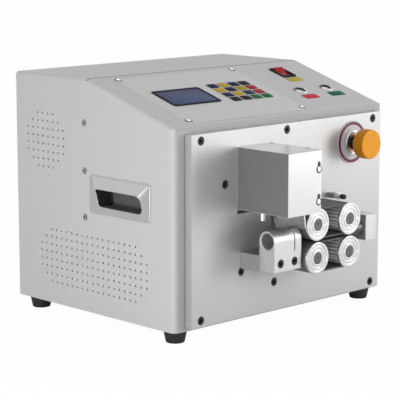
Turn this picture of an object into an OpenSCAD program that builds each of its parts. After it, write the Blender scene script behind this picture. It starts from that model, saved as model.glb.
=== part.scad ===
// Tube cutting machine: a bench-top case whose front plate carries a belt
// feeder, a split tube guide and a guillotine cutter under a guard.
// Millimetres, Z up, the front looks along -Y.

/* [Case] */
// Width of the sheet case
case_w = 400; // [300:1:500]
// Depth of the case from its front lip to its rear edge
case_d = 314; // [240:1:400]
// Height of the flat top above the case's lower edge
case_h = 311; // [240:1:400]
// Height at which the front face meets the sloping panel
front_h = 260; // [200:1:330]
// Depth of the sloping panel, measured level
slope_run = 165; // [100:1:220]
// Thickness of the case sheet
sheet = 2; // [1:0.1:3]
// Outside radius of the upright front corners
corner_r = 9; // [4:0.5:20]
// Outside radius of the bends beside the top and the slope
edge_r = 5; // [3:0.5:12]
// Width of the lip left at each side of the front opening
lip_side = 17.5; // [8:0.5:30]
// Height of the lip above the front opening
lip_top = 7; // [4:0.5:20]
// Height of the lip below the front opening
lip_low = 4.5; // [3:0.5:20]

/* [Feet] */
// Height of a rubber foot
foot_h = 17; // [8:0.5:30]
// Radius of a foot where it meets the case
foot_r_top = 15.5; // [8:0.5:25]
// Radius of a foot on the bench
foot_r_low = 12; // [6:0.5:22]
// Distance of a foot's centre from the case's sides and ends
foot_inset = 21; // [16:0.5:50]

/* [Vents] */
// Radius of one vent hole
vent_r = 1.5; // [0.8:0.1:3]
// Vent hole spacing along the depth
vent_step_y = 10.6; // [6:0.1:16]
// Vent hole spacing in height
vent_step_z = 10.3; // [6:0.1:16]
// Holes in the longest row of the upper field
upper_cols = 8; // [4:2:12]
// Holes in the longest row of the lower field
lower_cols = 21; // [11:2:25]
// Rows in each vent field
vent_rows = 8; // [4:2:12]
// Depth position of the upper field's centre
upper_vent_y = 252.4; // [200:0.5:270]
// Height of the upper field's centre
upper_vent_z = 222.5; // [180:0.5:250]
// Depth position of the lower field's centre
lower_vent_y = 157.6; // [120:0.5:200]
// Height of the lower field's centre
lower_vent_z = 65.8; // [50:0.5:90]

/* [Carrying handles] */
// Length of the handle flange
cup_len = 117.5; // [90:0.5:160]
// Height of the handle flange
cup_h = 50.5; // [40:0.5:80]
// Length of the finger opening
cup_open_len = 85; // [70:1:110]
// Height of the finger opening
cup_open_h = 24; // [18:1:40]
// Depth of the finger pocket
cup_depth = 26; // [18:1:40]
// Distance that the hood over the finger opening stands out of the case
cup_out = 8.8; // [5:0.1:12]
// Depth position of the handle's centre
cup_y = 101.4; // [80:0.1:200]
// Height of the handle flange's centre
cup_z = 161; // [120:1:220]

/* [Front plate] */
// Thickness of the front plate that stands proud of the case
plate_t = 12; // [8:0.5:20]
// Gap between the front plate and each side lip
plate_side_gap = 1; // [0.3:0.1:3]
// Gap between the front plate and the lips above and below it
plate_gap = 0.75; // [0.3:0.05:2]
// Head radius of the cap screws
cap_r = 5; // [3:0.1:7]
// Radius of the counterbores
cap_hole_r = 5.8; // [4:0.1:8]
// Shank radius of the cap screws
shank_r = 2.9; // [2:0.1:4]

/* [Belt feeder] */
// Pitch of the belt teeth
belt_pitch = 5; // [3:0.1:8]
// Teeth on each pulley
pulley_teeth = 24; // [16:1:32]
// Teeth on each belt
belt_teeth = 49; // [40:1:70]
// Width of the belts
belt_w = 50; // [20:1:70]
// Thickness of the belt's backing
belt_back = 1.7; // [1:0.1:4]
// Running space between the belt and the pulley tips
belt_gap = 0.3; // [0.2:0.05:0.6]
// Space between the two belts when the upper one is down
nip_gap = 2.9; // [1:0.1:6]
// Sideways position of the left pulleys
pulley_x = -16; // [-40:0.5:20]
// Height of the lower pulleys
pulley_z = 82.5; // [60:0.5:120]
// Distance of the pulleys' front faces from the case's front
pulley_front = 76; // [60:0.5:100]
// Radius of the pulley shafts
shaft_r = 5; // [3:0.5:8]
// How far the upper belt can lift
lift_travel = 15; // [5:1:20]

/* [Tube guides] */
// Radius of the bore that the tube leaves by
guide_bore_r = 10.5; // [3:0.1:11]
// Radius of the bore that the tube enters by
inlet_bore_r = 6.5; // [2:0.1:9]
// Height of the leaving bore's centre
bore_z = 111.7; // [100:0.1:120]
// Distance of both tube bores from the case's front
bore_front = 55.5; // [40:0.1:70]
// Length of the split guide block along the tube
guide_len = 50; // [30:1:60]
// Width of the split guide block, front to back
guide_wide = 26.4; // [20:0.1:40]
// Width of the slit that the blade drops into
slit_w = 2; // [1.6:0.1:4]

/* [Cutter] */
// Thickness of the blade
blade_t = 1.2; // [0.5:0.1:1.4]
// Tilt of the cutting edge from level
blade_tilt = 7.6; // [0:0.1:12]
// Length of the blade, front to back
blade_len = 51; // [40:1:60]
// Stroke of the cutter
cut_travel = 24; // [18:0.5:28]
// Width of the guard
guard_w = 60; // [50:1:80]
// Distance from the plate to the guard's front
guard_d = 88.5; // [70:0.5:110]
// Height of the guard
guard_h = 80.7; // [60:0.1:100]
// Height of the guard's lower edge
guard_z = 149.3; // [145:0.1:165]
// Thickness of the guard's sheet
guard_t = 1.5; // [1:0.1:3]
// Radius of the cutter's drive screw
screw_r = 5; // [4:0.5:8]

/* [Control panel] */
// Width of the slope left of the control plate
panel_margin = 34.5; // [20:0.5:50]
// Width of the slope kept for the switches at the right
switch_field = 141.5; // [120:0.5:160]
// Length of the control plate up the slope
panel_len = 152; // [120:1:165]
// Thickness of the control plate
panel_t = 1.2; // [0.8:0.1:3]
// Width of the display frame
lcd_w = 86; // [60:1:110]
// Height of the display frame
lcd_h = 50; // [30:1:70]
// Spacing of the keys across the panel
key_step_x = 19.8; // [15:0.1:25]
// Spacing of the keys up the panel
key_step_s = 15.3; // [12:0.1:20]
// Width of a key
key_w = 14.5; // [10:0.1:18]
// Height of a key
key_h = 11; // [8:0.1:14]
// Radius of the push button's cap
button_r = 6.2; // [4:0.1:9]
// Stroke of a push button
button_travel = 2.2; // [1:0.1:4]
// Swing of the rocker switch between its two positions
rocker_swing = 18; // [12:1:24]

/* [Emergency stop] */
// Radius of the mushroom head
mushroom_r = 20; // [15:0.5:30]
// Thickness of the mushroom head
mushroom_t = 21; // [12:0.5:30]
// Radius of the disc behind the head
disc_r = 29; // [22:0.5:40]
// Stroke of the stop button
stop_travel = 5; // [3:0.5:7]

/* [Inside the case] */
// Frame size of the stepper motors
motor_w = 57; // [42:0.5:60]
// Length of the two feed motors
motor_len = 56; // [40:1:76]
// Length of the cutter's motor
cutter_motor_len = 45; // [34:1:60]
// Frame width of the fan
fan_w = 80; // [60:1:92]
// Thickness of the fan
fan_t = 25; // [15:1:38]
// Width of the control board
board_w = 130; // [90:1:145]
// Depth of the control board
board_d = 140; // [90:1:155]
// Depth of the power supply
supply_d = 98; // [70:1:110]
// Height of the power supply
supply_h = 38; // [28:1:42]

/* [Hidden] */
run_gap = 0.08;
free_gap = 0.3;
eps = 0.1;
round_fn = 64;
small_fn = 32;

cup_flange_t = 1.8;
cup_wall = 2;
cup_cheek = 5;
cup_low = cup_z - cup_h / 2 + 10;
cup_high = cup_low + cup_open_h;
foot_seat = 5;

slope_a = atan((case_h - front_h) / slope_run);
edge_lean = 10;
side_screw_y = 172;
side_screw_z = [127.5, 189.7, 253];
head_h = 2.2;
pan_r = 3.6;
rear_proud = 2.5;

plate_back = sheet;
plate_w = case_w - 2 * (lip_side + plate_side_gap);
plate_x = plate_w / 2;
plate_low = lip_low + plate_gap;
plate_high = front_h - lip_top - plate_gap;
plate_h = plate_high - plate_low;
cap_h = 6;
cap_sink = cap_h + 0.5;
bolt_x = plate_x - 16.5;
bolt_hi = plate_high - 8.4;
bolt_lo = plate_low + 8.4;
leg_bolt_x = -122;
leg_bolt_z = 184;
plate_bolt_xz = [
    [-bolt_x, bolt_hi], [-8, bolt_hi], [bolt_x, bolt_hi],
    [-bolt_x, bolt_lo], [bolt_x, bolt_lo],
    [leg_bolt_x, leg_bolt_z], [-92.5, 66.5], [-30.5, 43.5]
];

frame_y = plate_back;
frame_t = 3;
frame_rim = 42;
frame_open_low = 24;
frame_open_high = plate_high - 21.5;

pitch_r = pulley_teeth * belt_pitch / (2 * PI);
tip_r = pitch_r - 0.4;
belt_in_r = tip_r + belt_gap;
belt_out_r = belt_in_r + belt_back;
flange_r = belt_out_r + 0.6;
pulley_run = (belt_teeth - pulley_teeth) * belt_pitch / 2;
pulley_x2 = pulley_x + pulley_run;
upper_z = pulley_z + 2 * belt_out_r + nip_gap;
flange_t = 4;
belt_y = -pulley_front + flange_t + 0.6;
rear_flange_t = 3;
core_len = belt_w + 1.2;
shaft_slot_r = shaft_r + 2;
bearing_r = 9.5;
tooth_depth = 1.2;
groove_out_r = 15.6;
groove_in_r = 12;
groove_deep = 0.6;
pilot_r = 19;
pilot_t = 1.6;

guide_x = -90.5;
guide_x2 = guide_x + guide_len;
bore_y = -bore_front;
guide_back = bore_y + guide_wide / 2;
guide_front = bore_y - guide_wide / 2;
guide_low = 72.6;
guide_arch_r = guide_wide / 2;
slit_x = -52.7;
slit_low = 96.8;
guide_cap_x = [-78.5, slit_x];
guide_cap_z = 83.3;
chamfer = 1;
spacer_x = -94.8;
spacer_high = 92.7;
spacer_low = 71.6;

inlet_x = 87;
inlet_z = bore_z - guide_bore_r + inlet_bore_r;
inlet_len = 20.5;
inlet_low = 91;
inlet_high = 125.2;
nozzle_len = 17;
nozzle_r = 10;

bracket_in = 7;
bracket_out = 2.5;
bracket_t = bracket_in + bracket_out;
guard_x = -100;
guard_front = plate_t + guard_d;
bracket_x = guard_x + guard_w - bracket_in;
guard_screw_x = bracket_x + bracket_in / 2;
bracket_front = guard_front - guard_t;
bracket_low = guard_z + 3;
bracket_high = guard_z + guard_h - guard_t;
rail_w = 9;
rail_t = 4.7;
rail_low = guard_z + 7;
rail_high = bracket_high - 2.5;
rail_y = bore_y;
rail_face = bracket_x - rail_t;
truck_low = 184;
truck_h = 32;
truck_w = 24;
truck_x = -59.5;
tail_t = 6;
tail_len = 54;
holder_front = -88;
holder_len = 52;
holder_low = 151;
holder_high = 180;
holder_hole_y = [-80, -44];
holder_hole_z = 168;
edge_mid_z = 124;
blade_back = -19;
blade_hole_y = -23.5;
blade_hole_z = 8.4;
blade_hole_r = 1.5;
post_x = -66;
post_y = -25;
post_r = 4.5;
post_low = 130.6;
window_x = -100;
window_w = 25;
drive_x = -88;
arm_w = 16;
arm_y = -34;
arm_d = 9;
arm_h = 18;
arm_low = truck_low + 2;
motor_low = arm_low + arm_h + 6;
motor_top = motor_low + cutter_motor_len;
lcd_deep = 9;
motor_front = max(7.5, (motor_top + 1 + lcd_deep / cos(slope_a) - front_h) / tan(slope_a));
drive_y = motor_front + motor_w / 2;
boss_low = arm_low - 2;
boss_h = arm_h + 6;
window_low = arm_low - cut_travel - 19;
window_high = arm_low + arm_h + 11;
motor_arm_t = 5;
motor_leg_w = 12;
motor_leg_low = leg_bolt_z - 12;
motor_leg_x = [leg_bolt_x, -68];
tail_low = arm_low - cut_travel - 22;
tail_h = 8;

lift_y = 8;
lift_t = 8;
lift_low = 113;
lift_high = 178;
lift_x = -40;
lift_x2 = 94;
guard_key_z = [163.5, 204.9];
guard_slot_r = 2.8;
guard_slot_rise = 6.5;
guard_top_y = [-80.5, -18];
post2_x = 77;
post2_z = 147.5;
post2_w = 8;
post2_h = 7;
post2_len = 11;
post2_r = 2.5;
post2_washers = [14, 17.4];
post2_washer_r = 5;
post2_washer_t = 1.6;
post2_head = 21;
post2_head_r = 3.5;
post2_head_len = 7;
post2_sink = 7;
rod_r = 5;
rod_xs = [-53, 107];
rod_y = 22;
rod_low = 98;
lug_r = 9;
lug_low = 126;
lug_high = 164;
rod_high = lug_high + lift_travel + 19;
spring_x = 16;
spring_y = lift_y + lift_t / 2;
spring_r = 6;
spring_wire = 0.9;
spring_turns = 6;
spring_low = lift_high + 0.2;
spring_high = 214.8;

panel_w = case_w - panel_margin - switch_field;
panel_x = panel_margin + panel_w / 2 - case_w / 2;
panel_s = 87.5;
panel_screw_x = panel_w / 2 - 6.5;
panel_screw_s = panel_len / 2 - 6;
key_x = panel_x + 22.5;
key_s = 63.1;
lcd_x = panel_x - 47;
lcd_s = 86;
lcd_rim = 4;
rocker_x = case_w / 2 - 70;
rocker_s = 132;
rocker_w = 26;
rocker_h = 31.5;
rocker_in_w = 20;
rocker_in_h = 26;
rocker_wall = 1;
rocker_pivot = -2;
rocker_pin_r = 1.5;
start_x = case_w / 2 - 45;
stop_x = case_w / 2 - 98;
button_s = 68.7;
bezel_r = 9.2;
bezel_t = 2.5;
barrel_r = 8;
label_w = 27;
label_h = 13;
label_t = 0.6;

stop_box_w = 30;
stop_box_d = 42;
stop_room = stop_box_w + 2 * free_gap;
stop_ax = case_w / 2 - 79;
stop_az = rod_high + 2 + stop_box_w / 2;
disc_t = 1.5;
disc_face = -plate_t - disc_t;
collar_r = 17;
collar_t = 4.5;
collar_edge = 1.5;
stop_hole_r = 11.1;
stem_r = 7;
stem_tip_r = 5;
stem_len = 28;
stem_bore = 35;
stop_thread = 6;
head_back = 27;
head_edge = 1.5;
head_skirt = 5;

fan_x = case_w / 2 - 80;
fan_z = 205;
fan_bore_r = fan_w / 2 - 2.5;
inlet_px = 70 - case_w / 2;
inlet_pz = 70;
socket_w = 27;
socket_h = 47;
socket_d = 34;
socket_rim_w = 34;
socket_rim_h = 60;
plug_w = 22;
plug_h = 17;
plug_d = 14;
plug_low = -2;
fuse_w = 16;
fuse_h = 14;
fuse_d = 10;
fuse_low = -20;
board_x = case_w / 2 - 25 - board_w;
board_y = case_d - 34 - board_d;
board_up = 8;
board_t = 1.6;
board_top = board_up + board_t;
supply_x = 30 - case_w / 2;
supply_y = case_d - 26 - supply_d;
supply_w = board_x - 16 - supply_x;

reach_front = guard_front + head_h;
reach_rear = case_d + rear_proud;
shift_y = (reach_front - reach_rear) / 2;

// Places a sub-part drawn from the case's front lower edge
module at_case() {
    translate([0, shift_y, foot_h]) children();
}

// Places a sub-part drawn on the sloping panel: X across, Y up the slope
module on_slope() {
    at_case() translate([0, 0, front_h]) rotate([slope_a, 0, 0]) children();
}

// Turns a shape's Z axis to point from the front plate into the case
module facing(x, y, z) {
    translate([x, y, z]) rotate([-90, 0, 0]) children();
}

// Hexagon socket screw, its head's top at Z 0 and its shank upward
module cap_screw(shank) {
    difference() {
        cylinder(r = cap_r, h = cap_h, $fn = small_fn);
        translate([0, 0, -eps]) cylinder(r = 2.9, h = 3, $fn = 6);
    }
    translate([0, 0, cap_h]) cylinder(r = shank_r, h = shank, $fn = small_fn);
}

// Cross-recessed pan head screw, its seat at Z 0 and its shank downward
module pan_screw(shank) {
    difference() {
        union() {
            cylinder(r = pan_r, h = head_h / 2, $fn = small_fn);
            translate([0, 0, head_h / 2])
                cylinder(r1 = pan_r, r2 = pan_r - 1.2, h = head_h / 2, $fn = small_fn);
        }
        for (a = [0, 90]) rotate([0, 0, a]) translate([-2, -0.4, head_h - 1]) cube([4, 0.8, 2]);
    }
    translate([0, 0, -shank]) cylinder(r = 1.9, h = shank, $fn = small_fn);
}

// Level outline of the case, drawn in by o and ending at depth rear
module plan_2d(o, rear) {
    r = corner_r - o;
    x = case_w / 2 - o;
    polygon([[-x, o + r], [-x + r, o], [x - r, o], [x, o + r], [x, rear], [-x, rear]]);
    for (s = [-1, 1]) translate([s * (x - r), o + r]) circle(r = r, $fn = round_fn);
}

// Side outline of the case, drawn in by o and running over its open
// sides; the first axis is depth
module side_2d(o) {
    r = edge_r - o;
    za = front_h + o * tan(slope_a) - o / cos(slope_a);
    t = r * tan((90 - slope_a) / 2);
    yb = (case_h - o - front_h + o / cos(slope_a)) / tan(slope_a);
    polygon([
        [case_d + 1, -1], [case_d + 1, case_h - o], [yb, case_h - o],
        [o + t * cos(slope_a), za + t * sin(slope_a)], [o, za - t], [o, -1]
    ]);
    translate([o + r, za - t]) circle(r = r, $fn = round_fn);
}

// Upright cross-section with rounded upper corners under height h; it runs
// past both flats, which the other outlines cut, and meets them at a slight
// angle
module arch_2d(o, h, low) {
    r = edge_r - o;
    x = case_w / 2 - o;
    c = r * cos(edge_lean);
    e = c - r * sin(edge_lean);
    polygon([
        [x + 1, low], [x + 1, h - e], [x, h - e], [x - e, h], [x - e, h + 1],
        [-x + e, h + 1], [-x + e, h], [-x, h - e], [-x - 1, h - e], [-x - 1, low]
    ]);
    for (s = [-1, 1]) translate([s * (x - c), h - c]) circle(r = r, $fn = round_fn);
}

// Solid form of the case, drawn in by o and reaching past its open
// rear and underside by over
module case_form(o, over) {
    intersection() {
        translate([0, 0, -over]) linear_extrude(case_h + over + 1) plan_2d(o, case_d + over);
        translate([-case_w, 0, 0]) rotate([90, 0, 90]) linear_extrude(2 * case_w) side_2d(o);
        translate([0, case_d + 2, 0]) rotate([90, 0, 0])
            linear_extrude(case_d + 4) arch_2d(o, case_h - o, -1);
        translate([0, 0, front_h]) rotate([slope_a, 0, 0])
            translate([0, 2 * case_d, 0]) rotate([90, 0, 0])
                linear_extrude(3 * case_d) arch_2d(o, -o, -2 * front_h);
    }
}

// Holes of one vent field as rods across the whole case
module vent_field(cols, cy, cz) {
    for (row = [0 : vent_rows - 1]) {
        step = abs(row - (vent_rows - 1) / 2) - (vent_rows / 2 - 2.5);
        n = cols - 2 * max(0, ceil(step));
        for (col = [0 : n - 1])
            translate([
                -case_w / 2 - 1,
                cy + (col - (n - 1) / 2) * vent_step_y,
                cz + (row - (vent_rows - 1) / 2) * vent_step_z
            ]) rotate([0, 90, 0]) cylinder(r = vent_r, h = case_w + 2, $fn = 16);
    }
}

module cover() {
    color("Gainsboro") at_case() difference() {
        case_form(0, 0);
        case_form(sheet, 1);
        translate([lip_side - case_w / 2, -1, lip_low])
            cube([case_w - 2 * lip_side, sheet + 2, front_h - lip_low - lip_top]);
        for (s = [-1, 1])
            translate([s * case_w / 2 - 5, cup_y - cup_open_len / 2 - 4, cup_low - 4])
                cube([10, cup_open_len + 8, cup_h - 12]);
        vent_field(upper_cols, upper_vent_y, upper_vent_z);
        vent_field(lower_cols, lower_vent_y, lower_vent_z);
        for (z = side_screw_z) translate([-case_w / 2 - 1, side_screw_y, z])
            rotate([0, 90, 0]) cylinder(r = 2.1, h = case_w + 2, $fn = small_fn);
        translate([0, 0, front_h]) rotate([slope_a, 0, 0]) slope_cuts();
    }
}

// Cut-outs in the sloping panel
module slope_cuts() {
    deep = 12;
    translate([lcd_x - lcd_w / 2 + 2, lcd_s - lcd_h / 2 + 2, -deep / 2])
        cube([lcd_w - 4, lcd_h - 4, deep]);
    translate([rocker_x, rocker_s, 0]) cube([
        rocker_in_w + 2 * rocker_wall + 0.4, rocker_in_h + 2 * rocker_wall + 0.4, deep
    ], center = true);
    for (x = [start_x, stop_x]) translate([x, button_s, -deep / 2])
        cylinder(r = barrel_r + 0.1, h = deep, $fn = round_fn);
    panel_screw_places() translate([0, 0, -deep / 2]) cylinder(r = 2.1, h = deep, $fn = small_fn);
}

module panel_screw_places() {
    for (sx = [-1, 1], ss = [-1, 1])
        translate([panel_x + sx * panel_screw_x, panel_s + ss * panel_screw_s, 0]) children();
}

module base_tray() {
    x = case_w / 2 - sheet - 0.2;
    y0 = sheet + 0.2;
    d = case_d - sheet - 0.6 - y0;
    color("Silver") at_case() {
        difference() {
            linear_extrude(sheet) plan_2d(sheet + 0.2, y0 + d);
            foot_places() translate([0, 0, -1]) cylinder(r = 2.1, h = sheet + 2, $fn = small_fn);
        }
        for (s = [-1, 1]) {
            translate([s * (x - sheet / 2) - sheet / 2, y0 + 8, 0]) cube([sheet, d - 8, 20]);
            difference() {
                translate([s * (x - sheet / 2) - sheet / 2, side_screw_y - 10, 0])
                    cube([sheet, 20, front_h + 8]);
                for (z = side_screw_z) translate([s * x - 5, side_screw_y, z])
                    rotate([0, 90, 0]) cylinder(r = 2.1, h = 10, $fn = small_fn);
            }
            translate([s * (x - 10) - 10, side_screw_y - 10, 0]) cube([20, sheet, front_h - 2]);
        }
    }
}

module foot_places() {
    for (x = [foot_inset - case_w / 2, case_w / 2 - foot_inset], y = [foot_inset, case_d - foot_inset])
        translate([x, y, 0]) children();
}

module feet() {
    color("DimGray") at_case() foot_places() difference() {
        translate([0, 0, -foot_h]) cylinder(r1 = foot_r_low, r2 = foot_r_top, h = foot_h, $fn = round_fn);
        translate([0, 0, -foot_h - eps]) cylinder(r = 5, h = foot_h - foot_seat + eps, $fn = small_fn);
        translate([0, 0, -foot_h]) cylinder(r = 2.1, h = foot_h + 1, $fn = small_fn);
    }
}

module rear_panel() {
    x = case_w / 2 - sheet - 0.2;
    color("Silver") at_case() difference() {
        translate([-x, case_d - sheet, sheet]) cube([2 * x, sheet, case_h - 2 * sheet - 0.2]);
        for (s = [-1, 1]) translate([s * x - 4, case_d - 10, case_h - 8]) cube([8, 20, 8]);
        for (i = [-4 : 4]) {
            half = sqrt(pow(fan_bore_r - 2, 2) - pow(8 * i, 2));
            translate([fan_x - half, case_d - 10, fan_z + 8 * i - 2.5]) cube([2 * half, 20, 5]);
        }
        translate([inlet_px - socket_w / 2 - 0.5, case_d - 10, inlet_pz - socket_h / 2 - 0.5])
            cube([socket_w + 1, 20, socket_h + 1]);
    }
}

module front_frame() {
    x = case_w / 2 - corner_r - 0.5;
    color("DarkGray") at_case() difference() {
        translate([-x, frame_y, sheet + 0.2]) cube([2 * x, frame_t, front_h - 2 * sheet - 3]);
        translate([frame_rim - case_w / 2, frame_y - 1, frame_open_low])
            cube([case_w - 2 * frame_rim, frame_t + 2, frame_open_high - frame_open_low]);
        translate([stop_ax - stop_room / 2, frame_y - 1, stop_az - stop_room / 2])
            cube([stop_room, frame_t + 2, stop_room]);
        for (p = plate_bolt_xz) facing(p[0], -20, p[1])
            cylinder(r = shank_r + 0.2, h = 60, $fn = small_fn);
    }
}

module front_plate() {
    color("WhiteSmoke") at_case() difference() {
        translate([-plate_x, -plate_t, plate_low]) cube([plate_w, plate_t + plate_back, plate_h]);
        for (p = plate_bolt_xz) {
            facing(p[0], -plate_t - 1, p[1]) cylinder(r = cap_hole_r, h = cap_sink + 1, $fn = small_fn);
            facing(p[0], -plate_t - 1, p[1]) cylinder(r = shank_r + 0.2, h = 40, $fn = small_fn);
        }
        for (x = guide_cap_x) facing(x, -plate_t - 1, guide_cap_z)
            cylinder(r = shank_r, h = 10, $fn = small_fn);
        for (x = [pulley_x, pulley_x2]) {
            facing(x, -plate_t - 1, pulley_z) cylinder(r = bearing_r, h = 40, $fn = round_fn);
            for (z = [upper_z, upper_z + lift_travel])
                facing(x, -plate_t - 1, z) cylinder(r = shaft_slot_r, h = 40, $fn = round_fn);
            translate([x - shaft_slot_r, -plate_t - 1, upper_z]) cube([2 * shaft_slot_r, 40, lift_travel]);
        }
        facing(pulley_x, plate_back - pilot_t, pulley_z)
            cylinder(r = pilot_r + 0.1, h = 10, $fn = round_fn);
        translate([window_x, -plate_t - 1, window_low]) cube([window_w, 40, window_high - window_low]);
        facing(stop_ax, -plate_t - 1, stop_az) cylinder(r = stop_hole_r + 0.1, h = 40, $fn = round_fn);
        facing(post2_x, -plate_t - 1, post2_z)
            cylinder(r = post2_r + free_gap, h = post2_sink + 2, $fn = small_fn);
    }
}

module cap_screws() {
    color("#222222") at_case() {
        for (p = plate_bolt_xz) facing(p[0], 0.3 - plate_t, p[1]) cap_screw(plate_t + frame_t);
        for (x = guide_cap_x) facing(x, guide_front + 0.3, guide_cap_z)
            cap_screw(-guide_front - plate_t + 1);
    }
}

module pan_screws() {
    color("Silver") {
        at_case() {
            for (s = [-1, 1], z = side_screw_z) translate([s * case_w / 2, side_screw_y, z])
                rotate([0, s * 90, 0]) pan_screw(4);
            for (z = guard_key_z) facing(guard_screw_x, -guard_front, z) rotate([180, 0, 0]) pan_screw(8);
            for (y = guard_top_y) translate([guard_screw_x, y, guard_z + guard_h]) pan_screw(8);
            foot_places() translate([0, 0, -foot_seat]) rotate([180, 0, 0]) pan_screw(10);
        }
        on_slope() panel_screw_places() translate([0, 0, panel_t]) pan_screw(4);
    }
}

// Form that tapers from an opening in a flange to a lip out from it
module cup_hood(y_in, z_low, z_high, y_out, out, lip) {
    hull() {
        translate([-case_w / 2 - cup_flange_t, cup_y - y_in / 2, z_low]) cube([1, y_in, z_high - z_low]);
        translate([-case_w / 2 - out, cup_y - y_out / 2, cup_high - lip]) cube([1, y_out, 1.5]);
    }
}

module handle_cups() {
    pocket_h = cup_h - 20;
    color("Gainsboro") at_case() for (s = [0, 1]) mirror([s, 0, 0]) difference() {
        union() {
            translate([-case_w / 2 - cup_flange_t, cup_y - cup_len / 2, cup_z - cup_h / 2])
                cube([cup_flange_t, cup_len, cup_h]);
            translate([-case_w / 2, cup_y - cup_open_len / 2 - cup_wall, cup_low - cup_wall])
                cube([cup_depth, cup_open_len + 2 * cup_wall, pocket_h + 2 * cup_wall]);
            cup_hood(cup_len, cup_z - cup_cheek, cup_z + cup_h / 2, cup_open_len, cup_out, 0);
        }
        cup_hood(cup_open_len, cup_low, cup_low + pocket_h, cup_open_len - 6, cup_out - cup_wall, 1);
        translate([-case_w / 2 - cup_flange_t, cup_y - cup_open_len / 2, cup_low])
            cube([cup_depth + cup_flange_t - cup_wall, cup_open_len, pocket_h]);
    }
}

module control_panel() {
    color("Gainsboro") on_slope() difference() {
        translate([panel_x - panel_w / 2, panel_s - panel_len / 2, 0]) cube([panel_w, panel_len, panel_t]);
        translate([lcd_x - lcd_w / 2 + 2, lcd_s - lcd_h / 2 + 2, -1]) cube([lcd_w - 4, lcd_h - 4, 5]);
        panel_screw_places() translate([0, 0, -1]) cylinder(r = 2.1, h = 5, $fn = small_fn);
    }
}

module lcd_frame() {
    color("#1a1a1a") on_slope() difference() {
        union() {
            translate([lcd_x - lcd_w / 2, lcd_s - lcd_h / 2, panel_t]) cube([lcd_w, lcd_h, 1]);
            translate([lcd_x - lcd_w / 2 + 2.2, lcd_s - lcd_h / 2 + 2.2, -lcd_deep])
                cube([lcd_w - 4.4, lcd_h - 4.4, lcd_deep + panel_t]);
        }
        translate([lcd_x - lcd_w / 2 + lcd_rim, lcd_s - lcd_h / 2 + lcd_rim, -6])
            cube([lcd_w - 2 * lcd_rim, lcd_h - 2 * lcd_rim, 20]);
    }
}

module lcd_screen() {
    color("SlateGray") on_slope()
        translate([lcd_x - lcd_w / 2 + lcd_rim, lcd_s - lcd_h / 2 + lcd_rim, -6])
            cube([lcd_w - 2 * lcd_rim, lcd_h - 2 * lcd_rim, 6 + panel_t + 0.4]);
}

module keypad_film() {
    color("LightGray") on_slope()
        translate([key_x - key_w, key_s - key_h, panel_t])
            cube([3 * key_step_x + 2 * key_w, 3 * key_step_s + 2 * key_h, 0.5]);
}

module keypad_keys() {
    color("DarkSlateBlue") on_slope() for (c = [0 : 3], r = [0 : 3])
        translate([key_x + c * key_step_x - key_w / 2, key_s + r * key_step_s - key_h / 2, panel_t + 0.5])
            cube([key_w, key_h, 0.8]);
}

module rocker_housing() {
    color("#1a1a1a") on_slope() translate([rocker_x, rocker_s, 0]) difference() {
        union() {
            translate([-rocker_w / 2, -rocker_h / 2, 0]) cube([rocker_w, rocker_h, 2]);
            translate([-rocker_in_w / 2 - rocker_wall, -rocker_in_h / 2 - rocker_wall, -18])
                cube([rocker_in_w + 2 * rocker_wall, rocker_in_h + 2 * rocker_wall, 18]);
        }
        translate([-rocker_in_w / 2, -rocker_in_h / 2, -10]) cube([rocker_in_w, rocker_in_h, 20]);
        translate([-rocker_w, 0, rocker_pivot]) rotate([0, 90, 0])
            cylinder(r = rocker_pin_r + run_gap, h = 2 * rocker_w, $fn = small_fn);
    }
}

module rocker_switch() {
    w = rocker_in_w - 0.8;
    e = rocker_in_h / 2 - 1;
    pin = rocker_in_w + 2 * rocker_wall - 0.4;
    color("Red") on_slope() translate([rocker_x, rocker_s, rocker_pivot]) rotate([rocker_swing / 2, 0, 0]) {
        translate([-w / 2, 0, 0]) rotate([90, 0, 90])
            linear_extrude(w) polygon([[-e + 1, -3], [e - 1, -3], [e, 5.2], [0, 3.2], [-e, 5.2]]);
        translate([-pin / 2, 0, 0]) rotate([0, 90, 0]) cylinder(r = rocker_pin_r, h = pin, $fn = small_fn);
    }
}

module button_bezels() {
    color("Silver") on_slope() for (x = [start_x, stop_x]) translate([x, button_s, 0]) difference() {
        union() {
            cylinder(r = bezel_r, h = bezel_t - 0.8, $fn = round_fn);
            translate([0, 0, bezel_t - 0.8])
                cylinder(r1 = bezel_r, r2 = bezel_r - 0.8, h = 0.8, $fn = round_fn);
            translate([0, 0, -22]) cylinder(r = barrel_r, h = 22, $fn = round_fn);
        }
        translate([0, 0, -12]) cylinder(r = button_r + free_gap, h = 20, $fn = round_fn);
    }
}

module push_cap() {
    translate([0, 0, -8]) cylinder(r = button_r, h = 10.7, $fn = round_fn);
    translate([0, 0, 2.7]) cylinder(r1 = button_r, r2 = button_r - 0.5, h = 0.5, $fn = round_fn);
}

module start_button() {
    color("Silver") on_slope() translate([start_x, button_s, 0]) push_cap();
}

module stop_button() {
    color("Silver") on_slope() translate([stop_x, button_s, 0]) push_cap();
}

// A bare coloured plate on the slope, centred on x and s
module label_plate(x, s) {
    on_slope() translate([x - label_w / 2, s - label_h / 2, 0]) cube([label_w, label_h, label_t]);
}

module label_yellow() {
    color("Gold") label_plate(rocker_x, rocker_s - 25);
}

module label_red() {
    color("Crimson") label_plate(stop_x, button_s - 20);
}

module label_green() {
    color("SeaGreen") label_plate(start_x, button_s - 20);
}

module estop_disc() {
    color("LightYellow") at_case() facing(stop_ax, disc_face, stop_az) difference() {
        cylinder(r = disc_r, h = disc_t, $fn = round_fn);
        translate([0, 0, -1]) cylinder(r = stop_hole_r + 0.1, h = 5, $fn = round_fn);
    }
}

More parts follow.
